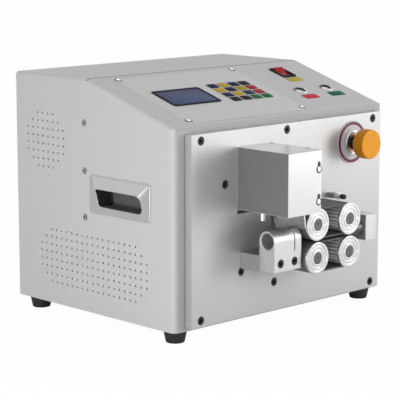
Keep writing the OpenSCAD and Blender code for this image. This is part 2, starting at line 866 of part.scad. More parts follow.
module estop_body() {
    behind = collar_t + disc_t + plate_t + plate_back;
    color("Silver") at_case() facing(stop_ax, disc_face - collar_t, stop_az) difference() {
        union() {
            cylinder(r1 = collar_r - collar_edge, r2 = collar_r, h = collar_edge, $fn = round_fn);
            translate([0, 0, collar_edge])
                cylinder(r = collar_r, h = collar_t - collar_edge, $fn = round_fn);
            cylinder(r = stop_hole_r, h = behind + stop_thread, $fn = round_fn);
            translate([-stop_box_w / 2, -stop_box_w / 2, behind])
                cube([stop_box_w, stop_box_w, stop_box_d]);
        }
        translate([0, 0, -1]) cylinder(r = stem_r + run_gap, h = stem_bore + 1, $fn = round_fn);
    }
}

module estop_stem() {
    color("#2a2a2a") at_case() {
        facing(stop_ax, -head_back + 0.4, stop_az) cylinder(r = stem_r, h = stem_len, $fn = round_fn);
        facing(stop_ax, -head_back - 10, stop_az) cylinder(r = stem_tip_r, h = 11, $fn = round_fn);
    }
}

module estop_head() {
    side = mushroom_t - head_edge - head_skirt;
    color("Orange") at_case() facing(stop_ax, -head_back - mushroom_t, stop_az) difference() {
        union() {
            cylinder(r1 = mushroom_r - head_edge, r2 = mushroom_r, h = head_edge, $fn = round_fn);
            translate([0, 0, head_edge]) cylinder(r = mushroom_r, h = side, $fn = round_fn);
            translate([0, 0, head_edge + side])
                cylinder(r1 = mushroom_r, r2 = mushroom_r - 5, h = head_skirt, $fn = round_fn);
        }
        translate([0, 0, mushroom_t - 10 - free_gap])
            cylinder(r = stem_tip_r + run_gap, h = 20, $fn = round_fn);
    }
}

module guard() {
    color("Silver") at_case() difference() {
        translate([guard_x, -guard_front, guard_z]) cube([guard_w, guard_d, guard_h]);
        translate([guard_x + guard_t, -guard_front + guard_t, guard_z - 1])
            cube([guard_w, guard_d, guard_h + 1 - guard_t]);
        for (z = guard_key_z) {
            for (up = [0, guard_slot_rise]) facing(guard_screw_x, -guard_front - 1, z + up)
                cylinder(r = guard_slot_r, h = 4, $fn = small_fn);
            translate([guard_screw_x - guard_slot_r, -guard_front - 1, z])
                cube([2 * guard_slot_r, 4, guard_slot_rise]);
        }
        for (y = guard_top_y) translate([guard_screw_x, y, guard_z + guard_h - 3])
            cylinder(r = 2.3, h = 6, $fn = small_fn);
    }
}

module cutter_bracket() {
    color("DarkGray") at_case() {
        difference() {
            translate([bracket_x, -bracket_front, bracket_low])
                cube([bracket_t, bracket_front - plate_t, bracket_high - bracket_low]);
            for (z = guard_key_z) facing(guard_screw_x, -bracket_front - 1, z)
                cylinder(r = 1.9, h = 9, $fn = small_fn);
            for (y = guard_top_y) translate([guard_screw_x, y, bracket_high - 8])
                cylinder(r = 1.9, h = 10, $fn = small_fn);
        }
        difference() {
            translate([post_x - 9, post_y - 9, bracket_high - 14])
                cube([bracket_x - post_x + 9, -plate_t - post_y + 9, 14]);
            translate([post_x, post_y, 0]) cylinder(r = post_r, h = 400, $fn = small_fn);
        }
    }
}

module cutter_rail() {
    color("Silver") at_case() difference() {
        translate([rail_face, rail_y - rail_w / 2, rail_low]) cube([rail_t, rail_w, rail_high - rail_low]);
        for (z = [rail_low + 8 : 18 : rail_high - 4]) translate([rail_face - 1, rail_y, z])
            rotate([0, 90, 0]) cylinder(r = 2.2, h = 3, $fn = small_fn);
    }
}

module guide_post() {
    color("Silver") at_case() translate([post_x, post_y, post_low]) {
        cylinder(r1 = post_r - 1.8, r2 = post_r, h = 1.8, $fn = small_fn);
        translate([0, 0, 1.8]) cylinder(r = post_r, h = bracket_high - post_low - 1.8, $fn = small_fn);
    }
}

// Square stepper motor, its face at Z 0 and its case upward
module stepper(len, bore_r) {
    c = motor_w / 2;
    k = 5;
    difference() {
        union() {
            linear_extrude(len) polygon([
                [-c + k, -c], [c - k, -c], [c, -c + k], [c, c - k],
                [c - k, c], [-c + k, c], [-c, c - k], [-c, -c + k]
            ]);
            translate([0, 0, -pilot_t]) cylinder(r = pilot_r, h = pilot_t, $fn = round_fn);
        }
        translate([0, 0, -5]) cylinder(r = bore_r, h = 27, $fn = round_fn);
        for (z = [8, len - 9]) for (a = [0 : 90 : 270]) rotate([0, 0, a])
            translate([c - 1, -c + 8, z]) cube([5, 2 * c - 16, 1]);
    }
}

module cutter_motor() {
    color("#333333") at_case() translate([drive_x, drive_y, motor_low])
        stepper(cutter_motor_len, screw_r + run_gap);
}

module motor_bracket() {
    back = frame_y + 0.2;
    shelf_x = motor_leg_x[0] - motor_leg_w / 2;
    shelf_w = motor_leg_x[1] - motor_leg_x[0] + motor_leg_w;
    color("DarkGray") at_case() difference() {
        union() {
            translate([shelf_x, back, motor_low - motor_arm_t])
                cube([shelf_w, drive_y + motor_w / 2 - 2, motor_arm_t]);
            for (x = motor_leg_x) translate([x - motor_leg_w / 2, back, motor_leg_low])
                cube([motor_leg_w, 5, motor_low - motor_leg_low]);
            translate([drive_x - 12, back, tail_low]) cube([24, drive_y + 12, tail_h]);
        }
        translate([drive_x, drive_y, motor_low - 10]) cylinder(r = pilot_r + 0.2, h = 20, $fn = round_fn);
        translate([drive_x, drive_y, tail_low - 10])
            cylinder(r = screw_r - 1 + run_gap, h = 30, $fn = round_fn);
        facing(leg_bolt_x, 0, leg_bolt_z) cylinder(r = shank_r + 0.2, h = 20, $fn = small_fn);
    }
}

module cutter_screw() {
    color("Silver") at_case() translate([drive_x, drive_y, 0]) {
        translate([0, 0, tail_low + tail_h + 1])
            cylinder(r = screw_r, h = motor_low + 17 - tail_low - tail_h, $fn = round_fn);
        translate([0, 0, tail_low + 1]) cylinder(r = screw_r - 1, h = tail_h + 1, $fn = round_fn);
    }
}

module blade_carriage() {
    color("Gray") at_case() difference() {
        union() {
            translate([truck_x, rail_y - truck_w / 2, truck_low])
                cube([rail_face + 2.5 - truck_x, truck_w, truck_h]);
            translate([truck_x - tail_t, holder_front, holder_low])
                cube([tail_t, tail_len, truck_low + truck_h - holder_low]);
            translate([post_x, post_y, boss_low]) cylinder(r = 8.5, h = boss_h, $fn = round_fn);
            translate([drive_x - arm_w / 2, arm_y, arm_low])
                cube([truck_x - drive_x + arm_w / 2, arm_d, arm_h]);
            translate([drive_x - arm_w / 2, arm_y, arm_low]) cube([arm_w, drive_y - arm_y, arm_h]);
            translate([drive_x, drive_y, arm_low]) cylinder(r = 12, h = arm_h, $fn = round_fn);
        }
        translate([rail_face - free_gap, rail_y - rail_w / 2 - free_gap, truck_low - 1])
            cube([10, rail_w + 2 * free_gap, truck_h + 2]);
        translate([post_x, post_y, boss_low - 60]) cylinder(r = post_r + run_gap, h = 120, $fn = round_fn);
        translate([drive_x, drive_y, arm_low - 1])
            cylinder(r = screw_r + run_gap, h = arm_h + 2, $fn = round_fn);
    }
}

module blade_holder() {
    x2 = slit_x - blade_t / 2;
    color("#444444") at_case() difference() {
        translate([truck_x, holder_front, holder_low])
            cube([x2 - truck_x, holder_len, holder_high - holder_low]);
        for (y = holder_hole_y) translate([truck_x - 1, y, holder_hole_z])
            rotate([0, 90, 0]) cylinder(r = 2.2, h = 20, $fn = small_fn);
    }
}

module blade() {
    h = 52;
    color("WhiteSmoke") at_case() translate([slit_x, bore_y, edge_mid_z]) rotate([-blade_tilt, 0, 0]) {
        difference() {
            translate([-blade_t / 2, -blade_back - blade_len, 4]) cube([blade_t, blade_len, h - 4]);
            translate([-5, blade_hole_y, blade_hole_z]) rotate([0, 90, 0])
                cylinder(r = blade_hole_r, h = 10, $fn = small_fn);
        }
        translate([0, -blade_back, 0]) rotate([90, 0, 0]) linear_extrude(blade_len)
            polygon([[-0.1, 0], [0.1, 0], [blade_t / 2, 4.1], [-blade_t / 2, 4.1]]);
    }
}

module spacer_block() {
    color("Silver") at_case() difference() {
        translate([spacer_x, guide_back, spacer_low])
            cube([guide_x2 - spacer_x - 1, -plate_t - guide_back, spacer_high - spacer_low]);
        for (x = guide_cap_x) facing(x, guide_back - 1, guide_cap_z)
            cylinder(r = shank_r + 0.2, h = 60, $fn = small_fn);
    }
}

module guide_block() {
    color("Silver") at_case() difference() {
        union() {
            translate([guide_x, guide_front, guide_low]) cube([guide_len, guide_wide, bore_z - guide_low]);
            translate([guide_x, bore_y, bore_z]) rotate([0, 90, 0])
                cylinder(r = guide_arch_r, h = guide_len, $fn = round_fn);
        }
        translate([guide_x - 1, bore_y, bore_z]) rotate([0, 90, 0])
            cylinder(r = guide_bore_r, h = guide_len + 2, $fn = round_fn);
        translate([guide_x, bore_y, bore_z]) rotate([0, 90, 0])
            cylinder(r1 = guide_bore_r + chamfer, r2 = guide_bore_r, h = chamfer, $fn = round_fn);
        translate([guide_x2 - chamfer, bore_y, bore_z]) rotate([0, 90, 0])
            cylinder(r1 = guide_bore_r, r2 = guide_bore_r + chamfer, h = chamfer, $fn = round_fn);
        translate([slit_x - slit_w / 2, guide_front - 1, slit_low]) cube([slit_w, guide_wide + 2, 60]);
        for (x = guide_cap_x) {
            facing(x, guide_front - 1, guide_cap_z)
                cylinder(r = cap_hole_r, h = cap_sink + 1, $fn = small_fn);
            facing(x, guide_front - 1, guide_cap_z)
                cylinder(r = shank_r + 0.2, h = 60, $fn = small_fn);
        }
    }
}

module inlet_block() {
    color("Silver") at_case() difference() {
        translate([inlet_x, guide_front, inlet_low])
            cube([inlet_len, -plate_t - guide_front, inlet_high - inlet_low]);
        translate([inlet_x - 1, bore_y, inlet_z]) rotate([0, 90, 0])
            cylinder(r = inlet_bore_r, h = inlet_len + 2, $fn = round_fn);
    }
}

module inlet_nozzle() {
    color("Silver") at_case() translate([inlet_x - nozzle_len, bore_y, inlet_z])
        rotate([0, 90, 0]) difference() {
            union() {
                cylinder(r1 = nozzle_r - 2, r2 = nozzle_r, h = 4, $fn = round_fn);
                translate([0, 0, 4]) cylinder(r = nozzle_r, h = nozzle_len - 4, $fn = round_fn);
            }
            translate([0, 0, -1]) cylinder(r = inlet_bore_r, h = nozzle_len + 2, $fn = round_fn);
        }
}

// Flanged timing pulley on its shaft, front face at Z 0
module pulley(shaft_len) {
    difference() {
        cylinder(r = flange_r, h = flange_t, $fn = round_fn);
        translate([0, 0, -1]) difference() {
            cylinder(r = groove_out_r, h = 1 + groove_deep, $fn = round_fn);
            translate([0, 0, -1]) cylinder(r = groove_in_r, h = 4, $fn = round_fn);
        }
    }
    translate([0, 0, flange_t]) linear_extrude(core_len) difference() {
        circle(r = tip_r, $fn = round_fn);
        for (i = [0 : pulley_teeth - 1]) rotate([0, 0, i * 360 / pulley_teeth])
            polygon([[tip_r - 1.6, -0.9], [tip_r + 1, -1.5], [tip_r + 1, 1.5], [tip_r - 1.6, 0.9]]);
    }
    translate([0, 0, flange_t + core_len]) cylinder(r = flange_r, h = rear_flange_t, $fn = round_fn);
    cylinder(r = shaft_r, h = shaft_len, $fn = round_fn);
}

module lower_left_pulley() {
    color("Silver") at_case() facing(pulley_x, -pulley_front, pulley_z)
        pulley(pulley_front + plate_back + 20);
}

module lower_right_pulley() {
    color("Silver") at_case() facing(pulley_x2, -pulley_front, pulley_z)
        pulley(pulley_front + plate_back + 3);
}

module upper_left_pulley() {
    color("Silver") at_case() facing(pulley_x, -pulley_front, upper_z)
        pulley(pulley_front + lift_y + lift_t + 1);
}

module upper_right_pulley() {
    color("Silver") at_case() facing(pulley_x2, -pulley_front, upper_z)
        pulley(pulley_front + lift_y + lift_t + 20);
}

// Outline of a belt's loop round both pulleys, at radius r
module loop_2d(r) {
    translate([0, -r]) square([pulley_run, 2 * r]);
    for (x = [0, pulley_run]) translate([x, 0]) circle(r = r, $fn = round_fn);
}

// Toothed belt round both pulleys; teeth show on the straight runs
module belt() {
    n = floor((pulley_run - 15) / belt_pitch / 2);
    linear_extrude(belt_w) {
        difference() {
            loop_2d(belt_out_r);
            loop_2d(belt_in_r);
        }
        for (a = [0, 180], i = [-n : n]) translate([pulley_run / 2, 0]) rotate(a)
            translate([i * belt_pitch, belt_in_r])
                polygon([
                    [-0.8, -tooth_depth], [0.8, -tooth_depth], [1.3, 0],
                    [1.3, 0.4], [-1.3, 0.4], [-1.3, 0]
                ]);
    }
}

module lower_belt() {
    color("#303030") at_case() facing(pulley_x, belt_y, pulley_z) belt();
}

module upper_belt() {
    color("#303030") at_case() facing(pulley_x, belt_y, upper_z) belt();
}

module bearing(len) {
    difference() {
        cylinder(r = bearing_r, h = len, $fn = round_fn);
        translate([0, 0, -1]) cylinder(r = shaft_r + run_gap, h = len + 2, $fn = round_fn);
    }
}

module plate_bearings() {
    color("Silver") at_case() for (x = [pulley_x, pulley_x2])
        facing(x, -plate_t, pulley_z) bearing(plate_t + plate_back - pilot_t - 0.2);
}

module lift_bearings() {
    color("Silver") at_case() for (x = [pulley_x, pulley_x2])
        facing(x, lift_y, upper_z) bearing(lift_t - pilot_t - 0.2);
}

module lower_motor() {
    color("#333333") at_case() facing(pulley_x, plate_back, pulley_z) stepper(motor_len, shaft_r + run_gap);
}

module upper_motor() {
    color("#333333") at_case() facing(pulley_x2, lift_y + lift_t, upper_z)
        stepper(motor_len, shaft_r + run_gap);
}

module lift_plate() {
    color("LightGray") at_case() difference() {
        union() {
            translate([lift_x, lift_y, lift_low]) cube([lift_x2 - lift_x, lift_t, lift_high - lift_low]);
            for (x = rod_xs) {
                translate([x, rod_y, lug_low]) cylinder(r = lug_r, h = lug_high - lug_low, $fn = round_fn);
                translate([x < 0 ? x - 4 : lift_x2 - 2, lift_y, lug_low])
                    cube([x < 0 ? lift_x - x + 6 : x + 6 - lift_x2, lift_t, lug_high - lug_low]);
            }
        }
        for (x = rod_xs) translate([x, rod_y, 0]) cylinder(r = rod_r + run_gap, h = 400, $fn = round_fn);
        for (x = [pulley_x, pulley_x2]) facing(x, lift_y - 1, upper_z)
            cylinder(r = bearing_r, h = 20, $fn = round_fn);
        facing(pulley_x2, lift_y + lift_t - pilot_t, upper_z)
            cylinder(r = pilot_r + 0.1, h = 10, $fn = round_fn);
    }
}

module lift_guides() {
    color("Silver") at_case() {
        for (x = rod_xs) {
            translate([x, rod_y, rod_low]) cylinder(r = rod_r, h = rod_high - rod_low, $fn = round_fn);
            for (z = [rod_low, rod_high - 9]) difference() {
                translate([x - 7, plate_back + 0.1, z]) cube([14, rod_y + 7 - plate_back, 9]);
                translate([x, rod_y, z - 1]) cylinder(r = rod_r - 0.01, h = 20, $fn = round_fn);
            }
        }
        translate([spring_x - 12, plate_back + 0.1, spring_high]) cube([24, spring_y + 10 - plate_back, 5]);
    }
}

module pressure_spring() {
    color("Silver") at_case() translate([spring_x, spring_y, spring_low])
        linear_extrude(spring_high - spring_low, twist = -360 * spring_turns, slices = 18 * spring_turns)
            translate([spring_r, 0]) circle(r = spring_wire, $fn = 8);
}

module accessory_post() {
    color("Gray") at_case() translate([post2_x, -plate_t, post2_z]) rotate([90, 0, 0]) {
        translate([-post2_w / 2, -post2_h / 2, 0]) cube([post2_w, post2_h, post2_len]);
        translate([0, 0, -post2_sink])
            cylinder(r = post2_r, h = post2_sink + post2_head + 1, $fn = small_fn);
        for (z = post2_washers) translate([0, 0, z])
            cylinder(r = post2_washer_r, h = post2_washer_t, $fn = small_fn);
        translate([0, 0, post2_head]) cylinder(r = post2_head_r, h = post2_head_len, $fn = small_fn);
    }
}

module power_inlet() {
    color("#1a1a1a") at_case() translate([inlet_px, case_d, inlet_pz]) difference() {
        union() {
            translate([-socket_rim_w / 2, 0, -socket_rim_h / 2])
                cube([socket_rim_w, rear_proud, socket_rim_h]);
            translate([-socket_w / 2, -socket_d, -socket_h / 2]) cube([socket_w, socket_d, socket_h]);
        }
        translate([-plug_w / 2, -plug_d, plug_low]) cube([plug_w, plug_d + rear_proud + 1, plug_h]);
        translate([-fuse_w / 2, -fuse_d, fuse_low]) cube([fuse_w, fuse_d + rear_proud + 1, fuse_h]);
    }
}

module fan_housing() {
    color("#222222") at_case() facing(fan_x, case_d - sheet - fan_t, fan_z) {
        difference() {
            translate([-fan_w / 2, -fan_w / 2, 0]) cube([fan_w, fan_w, fan_t]);
            translate([0, 0, -1]) cylinder(r = fan_bore_r, h = fan_t + 2, $fn = round_fn);
        }
        difference() {
            union() {
                translate([0, 0, fan_t - 3]) cylinder(r = 15, h = 3, $fn = round_fn);
                for (a = [45, 135]) rotate([0, 0, a])
                    translate([-2, -fan_bore_r - 1, fan_t - 3]) cube([4, 2 * fan_bore_r + 2, 3]);
            }
            cylinder(r = 2 + run_gap, h = 100, $fn = small_fn);
        }
    }
}

module fan_rotor() {
    color("#333333") at_case() facing(fan_x, case_d - sheet - fan_t, fan_z) {
        translate([0, 0, 3]) cylinder(r = 16, h = fan_t - 9, $fn = round_fn);
        cylinder(r = 2, h = fan_t - 0.5, $fn = small_fn);
        for (a = [0 : 360 / 7 : 359]) rotate([0, 0, a])
            translate([14, -1, 5]) rotate([35, 0, 0]) cube([fan_bore_r - 16, 2, 12]);
    }
}

module power_supply() {
    color("Silver") at_case() translate([supply_x, supply_y, sheet + free_gap]) {
        difference() {
            cube([supply_w, supply_d, supply_h]);
            for (x = [20 : 12 : supply_w - 30]) translate([x, -1, 12]) cube([4, 8, 14]);
            translate([supply_w - 12, 4, 14]) cube([20, supply_d - 8, supply_h]);
        }
        translate([supply_w - 12, 10, 14]) cube([10, supply_d - 20, 12]);
    }
}

module control_board() {
    color("DarkGreen") at_case() translate([board_x, board_y, sheet]) {
        translate([0, 0, board_up]) cube([board_w, board_d, board_t]);
        for (x = [6, board_w - 6], y = [6, board_d - 6]) translate([x, y, 0])
            cylinder(r = 3, h = board_up, $fn = small_fn);
        translate([40, 50, board_top]) cube([24, 24, 3]);
        for (x = [12 : 26 : board_w - 18]) translate([x, 4, board_top]) cube([20, 9, 11]);
        for (x = [20 : 30 : board_w - 18]) translate([x, board_d - 24, board_top])
            cylinder(r = 8, h = 24, $fn = small_fn);
    }
}

base_tray();
cover();
rear_panel();
front_frame();
front_plate();
cap_screws();
pan_screws();
feet();
handle_cups();
control_panel();
lcd_frame();
lcd_screen();
keypad_film();
keypad_keys();
rocker_housing();
rocker_switch();
button_bezels();
start_button();
stop_button();
label_yellow();
label_red();
label_green();
estop_disc();
estop_body();
estop_stem();
estop_head();
guard();
cutter_bracket();
cutter_rail();
guide_post();
cutter_motor();
motor_bracket();
cutter_screw();
blade_carriage();
blade_holder();
blade();
spacer_block();
guide_block();
inlet_block();
inlet_nozzle();
lower_left_pulley();
lower_right_pulley();
upper_left_pulley();
upper_right_pulley();
lower_belt();
upper_belt();
plate_bearings();
lift_bearings();
lower_motor();
upper_motor();
lift_plate();
lift_guides();
pressure_spring();
accessory_post();
power_inlet();
fan_housing();
fan_rotor();
power_supply();
control_board();
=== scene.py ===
"""Bench-top tube cutting machine: finishes, close detail, studio and camera.

Shapes are worked out in millimetres of the machine's own frame, in which X 0
is the middle of the case, Y 0 its front lip and Z 0 its lower edge, and are
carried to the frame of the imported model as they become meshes.
"""
import math

import bpy
import numpy as np
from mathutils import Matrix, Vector


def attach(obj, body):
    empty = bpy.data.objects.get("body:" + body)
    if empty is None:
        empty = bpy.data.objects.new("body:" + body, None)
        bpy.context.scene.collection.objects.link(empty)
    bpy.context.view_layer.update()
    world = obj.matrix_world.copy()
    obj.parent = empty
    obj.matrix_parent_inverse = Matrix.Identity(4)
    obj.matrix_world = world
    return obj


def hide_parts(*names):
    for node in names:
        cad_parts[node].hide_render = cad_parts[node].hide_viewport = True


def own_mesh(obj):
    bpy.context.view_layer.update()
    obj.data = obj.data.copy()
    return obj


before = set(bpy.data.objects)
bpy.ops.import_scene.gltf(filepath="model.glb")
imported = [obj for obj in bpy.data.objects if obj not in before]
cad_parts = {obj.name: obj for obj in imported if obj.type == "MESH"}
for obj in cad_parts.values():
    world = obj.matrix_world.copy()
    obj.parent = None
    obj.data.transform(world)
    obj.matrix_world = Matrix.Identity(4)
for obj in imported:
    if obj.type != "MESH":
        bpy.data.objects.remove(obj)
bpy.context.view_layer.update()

# ---------------------------------------------------------------- sizes and places, in millimetres
SHIFT = np.array([0.0, -106.9, 17.0])  # from the machine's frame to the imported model's
CASE_SIDE = 200.0
FRONT_TOP = 260.0  # where the slope begins
SLOPE = math.atan2(51.0, 165.0)  # its rise over its run
PANEL_LIFT = 1.2  # the control plate's thickness
PLATE_FACE = -12.0
GUARD_FACE, GUARD_LEFT, GUARD_TOP = -100.5, -100.0, 229.4
GUIDE_FACE = -68.4
FEET = [(x, y) for x in (-179, 179) for y in (21, 293)]
STOP_X, STOP_Z = 121.0, 215.0  # the stop button's axis

TEETH, TOOTH_PITCH = 24, 5.0
TIP_R = TEETH * TOOTH_PITCH / (2 * math.pi) - 0.4
BELT_IN = TIP_R + 0.3
BELT_OUT = BELT_IN + 1.7
FLANGE_R = BELT_OUT + 0.6
PULLEY_FRONT = -76.0
PULLEY_X = (-16.0, 46.5)
LOWER_Z = 82.5
UPPER_Z = LOWER_Z + 2 * BELT_OUT + 2.9


def seat(origin, right, up):
    """Local place: its matrix columns are right, up and their cross product, which points out."""
    right, up = np.array(right, float), np.array(up, float)
    return np.array(origin, float), np.column_stack([right, up, np.cross(right, up)])


def on_front(x, z, y=PLATE_FACE):
    return seat((x, y, z), (1, 0, 0), (0, 0, 1))


def on_slope(x, s, lift=0.0):
    """Place on the slope, s up it from its front edge and lift out of it."""
    c, n = math.cos(SLOPE), math.sin(SLOPE)
    return seat((x, s * c - lift * n, FRONT_TOP + s * n + lift * c), (1, 0, 0), (0, c, n))


def on_left(y, z, x=-CASE_SIDE):
    return seat((x, y, z), (0, -1, 0), (0, 0, 1))


def on_right(y, z, x=CASE_SIDE):
    return seat((x, y, z), (0, 1, 0), (0, 0, 1))


def facing_up(x, y, z):
    return seat((x, y, z), (1, 0, 0), (0, 1, 0))


def facing_down(x, y, z):
    return seat((x, y, z), (1, 0, 0), (0, -1, 0))


def metres(x=0.0, y=0.0, z=0.0):
    """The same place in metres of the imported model's frame, in which the finishes read theirs."""
    return tuple((np.array([x, y, z]) + SHIFT) / 1000)


# ---------------------------------------------------------------- shapes
class Shape:
    """Points, faces grouped by their number of corners, a finish index for each group, and a
    value at each point that says how far it lies along its profile."""

    def __init__(self, points, faces, along=None):
        self.points = np.asarray(points, float).reshape(-1, 3)
        self.faces = faces
        self.along = np.zeros(len(self.points)) if along is None else np.asarray(along, float).ravel()

    def placed(self, place):
        origin, turn = place
        return Shape(self.points @ turn.T + origin, self.faces, self.along)

    def moved(self, x, y, z):
        return Shape(self.points + (x, y, z), self.faces, self.along)

    def finished(self, index):
        return Shape(self.points, [(f, index) for f, _ in self.faces], self.along)


def joined(*shapes):
    """All shapes as one: point numbers of each are raised by the points before it."""
    faces, base = [], 0
    for s in shapes:
        faces += [(f + base, k) for f, k in s.faces]
        base += len(s.points)
    return Shape(np.vstack([s.points for s in shapes]), faces, np.concatenate([s.along for s in shapes]))


def quads(rows, cols, wrap_rows=False):
    """Faces of a grid whose columns close on themselves; the rows close too where asked."""
    r = np.arange(rows if wrap_rows else rows - 1)[:, None]
    c = np.arange(cols)[None, :]
    r2, c2 = (r + 1) % rows, (c + 1) % cols
    return np.stack([r * cols + c, r * cols + c2, r2 * cols + c2, r2 * cols + c], -1).reshape(-1, 4)


def lofted(loops, along=None):
    """Skin through closed loops of equal count, with a flat face over either end. Its faces point
    outwards where the loops run counter-clockwise as seen from the last towards the first."""
    loops = np.asarray(loops, float)
    k, n, _ = loops.shape
    first, last = np.arange(n)[::-1][None], (np.arange(n) + (k - 1) * n)[None]
    along = np.zeros(k) if along is None else along
    return Shape(loops, [(quads(k, n), 0), (first, 0), (last, 0)], np.repeat(along, n))


def ring(loops, along=None):
    """Skin through closed loops whose last joins the first, as on a ring or a belt."""
    loops = np.asarray(loops, float)
    k, n, _ = loops.shape
    return Shape(loops, [(quads(k, n, True), 0)], along)


def eased(path, radius, steps=4):
    """Path with its inner corners rounded: each becomes the curve (1-t)^2 a + 2t(1-t) p + t^2 b
    between the points a and b that lie the radius before and after the corner p, or 0.45 of the
    leg where that is shorter."""
    p = np.asarray(path, float)
    leg = np.diff(p, axis=0)
    size = np.linalg.norm(leg, axis=1)
    cut = np.minimum(np.broadcast_to(radius, len(p) - 2), 0.45 * np.minimum(size[:-1], size[1:]))
    a = p[1:-1] - leg[:-1] * (cut / size[:-1])[:, None]
    b = p[1:-1] + leg[1:] * (cut / size[1:])[:, None]
    t = np.linspace(0, 1, steps + 1)[None, :, None]
    curve = (1 - t) ** 2 * a[:, None] + 2 * t * (1 - t) * p[1:-1, None] + t ** 2 * b[:, None]
    return np.vstack([p[:1], curve.reshape(-1, 2), p[-1:]])


def steps_along(path):
    """Distance of each point of a path from its start, walked along it."""
    return np.concatenate([[0], np.cumsum(np.linalg.norm(np.diff(path, axis=0), axis=1))])


def turned(profile, radius=0.0, count=64, outline=None):
    """Body of revolution about the local Z axis: each (r, h) of the eased profile becomes a circle
    (r cos a, r sin a, h). An outline function f(a, r, h) may replace r to give flutes or sockets."""
    path = eased(profile, radius) if radius else np.asarray(profile, float)
    a = np.linspace(0, 2 * math.pi, count, endpoint=False)[None, :]
    r, h = path[:, :1], path[:, 1:]
    reach = np.broadcast_to(r, (len(path), count)) if outline is None else outline(a, r, h)
    loops = np.stack([reach * np.cos(a), reach * np.sin(a), np.broadcast_to(h, reach.shape)], -1)
    return lofted(loops, steps_along(path))


def tube(profile, radius=0.0, count=64, outline=None):
    """Ring of revolution about local Z. Its closed cross-section is the (r, h) profile, counter-
    clockwise with r to the right. An outline function may replace r, as in turned()."""
    path = np.asarray(profile, float)
    if radius:
        middle = (path[-1:] + path[:1]) * 0.5
        path = eased(np.vstack([middle, path, middle]), radius)[:-1]
    a = np.linspace(0, 2 * math.pi, count, endpoint=False)[:, None]
    r, h = path[None, :, 0], path[None, :, 1]
    r = r if outline is None else outline(a, r, h)
    loops = np.stack([r * np.cos(a), r * np.sin(a), np.broadcast_to(h, (count, len(path)))], -1)
    return ring(loops[:, ::-1], np.tile(steps_along(path)[::-1], count))


def rounded_box(w, h, r, steps=6):
    """Outline of a rectangle w by h with corner radius r, counter-clockwise: four quarter circles."""
    r = min(r, w / 2 - 1e-3, h / 2 - 1e-3)
    a = np.linspace(0, math.pi / 2, steps + 1)
    quarter = np.stack([np.cos(a), np.sin(a)], -1) * r
    turns = [(1, 0, 0, 1), (0, -1, 1, 0), (-1, 0, 0, -1), (0, 1, -1, 0)]
    centres = [(1, 1), (-1, 1), (-1, -1), (1, -1)]
    return np.vstack([
        quarter @ np.array([[m[0], m[2]], [m[1], m[3]]]) + np.array(c) * (w / 2 - r, h / 2 - r)
        for m, c in zip(turns, centres)
    ])


def stepped(rows, steps=6):
    """Solid through rounded rectangles, each given as its width, height, corner and distance out."""
    loops = []
    for w, h, r, out in rows:
        o = rounded_box(w, h, r, steps)
        loops.append(np.column_stack([o, np.full(len(o), out)]))
    return lofted(loops)


def slab(w, h, r, low, high, edge=0.4, steps=6):
    """Plate w by h with round corners between two heights. Near the top its outline draws in along
    a quarter circle of radius edge, so that its edge catches the light."""
    a = np.linspace(0, math.pi / 2, 4)
    rows = [(0.0, low), *zip(edge * (1 - np.cos(a)), high - edge + edge * np.sin(a))]
    return stepped([(w - 2 * i, h - 2 * i, max(r - i, 0.05), out) for i, out in rows], steps)


def six(a, across):
    """Reach of a hexagon of that half width across flats in direction a."""
    third = math.pi / 3
    return across / np.cos((a + third / 2) % third - third / 2)


# ---------------------------------------------------------------- pieces
def piece(name, shape, finishes, body="case", stands_for=(), crisp=35.0):
    """Makes the mesh in metres of the model's frame, shades it smooth up to the crisp angle but for
    its flat end faces, and keeps each point's place along its profile in the attribute 'along'."""
    mesh = bpy.data.meshes.new(name)
    points = (shape.points + SHIFT) / 1000
    mesh.vertices.add(len(points))
    mesh.vertices.foreach_set("co", points.astype(np.float32).ravel())
    sizes = np.concatenate([np.full(len(f), f.shape[1]) for f, _ in shape.faces])
    index = np.concatenate([np.full(len(f), k) for f, k in shape.faces])
    corners = np.concatenate([f.ravel() for f, _ in shape.faces])
    mesh.loops.add(len(corners))
    mesh.loops.foreach_set("vertex_index", corners.astype(np.int32))
    mesh.polygons.add(len(sizes))
    mesh.polygons.foreach_set("loop_start", np.concatenate([[0], np.cumsum(sizes)[:-1]]).astype(np.int32))
    mesh.update(calc_edges=True)
    for m in finishes:
        mesh.materials.append(m)
    mesh.polygons.foreach_set("material_index", index.astype(np.int32))
    mesh.polygons.foreach_set("use_smooth", sizes <= 4)
    along = mesh.attributes.new("along", "FLOAT", "POINT")
    along.data.foreach_set("value", shape.along.astype(np.float32))
    mesh.update()
    mesh.set_sharp_from_angle(angle=math.radians(crisp))
    made = bpy.data.objects.new(name, mesh)
    bpy.context.scene.collection.objects.link(made)
    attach(made, body)
    if stands_for:
        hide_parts(*stands_for)
    return made


# ---------------------------------------------------------------- shader nodes
VALUE, COLOUR, VECTOR = "NodeSocketFloat", "NodeSocketColor", "NodeSocketVector"


def wire(tree, a, b):
    tree.links.new(a, b)


def node_group(name, inputs, outputs):
    """Empty shader group with sockets of these names and kinds, and its input and output nodes."""
    g = bpy.data.node_groups.new(name, "ShaderNodeTree")
    for label, kind, start in inputs:
        g.interface.new_socket(label, in_out="INPUT", socket_type=kind).default_value = start
    for label, kind in outputs:
        g.interface.new_socket(label, in_out="OUTPUT", socket_type=kind)
    return g, g.nodes.new("NodeGroupInput").outputs, g.nodes.new("NodeGroupOutput").inputs


def use(tree, group, **values):
    """Group placed in a tree, its inputs wired or set."""
    n = tree.nodes.new("ShaderNodeGroup")
    n.node_tree = group
    for key, value in values.items():
        socket = n.inputs[key.replace("_", " ")]
        if isinstance(value, bpy.types.NodeSocket):
            wire(tree, value, socket)
        else:
            socket.default_value = value
    return n.outputs


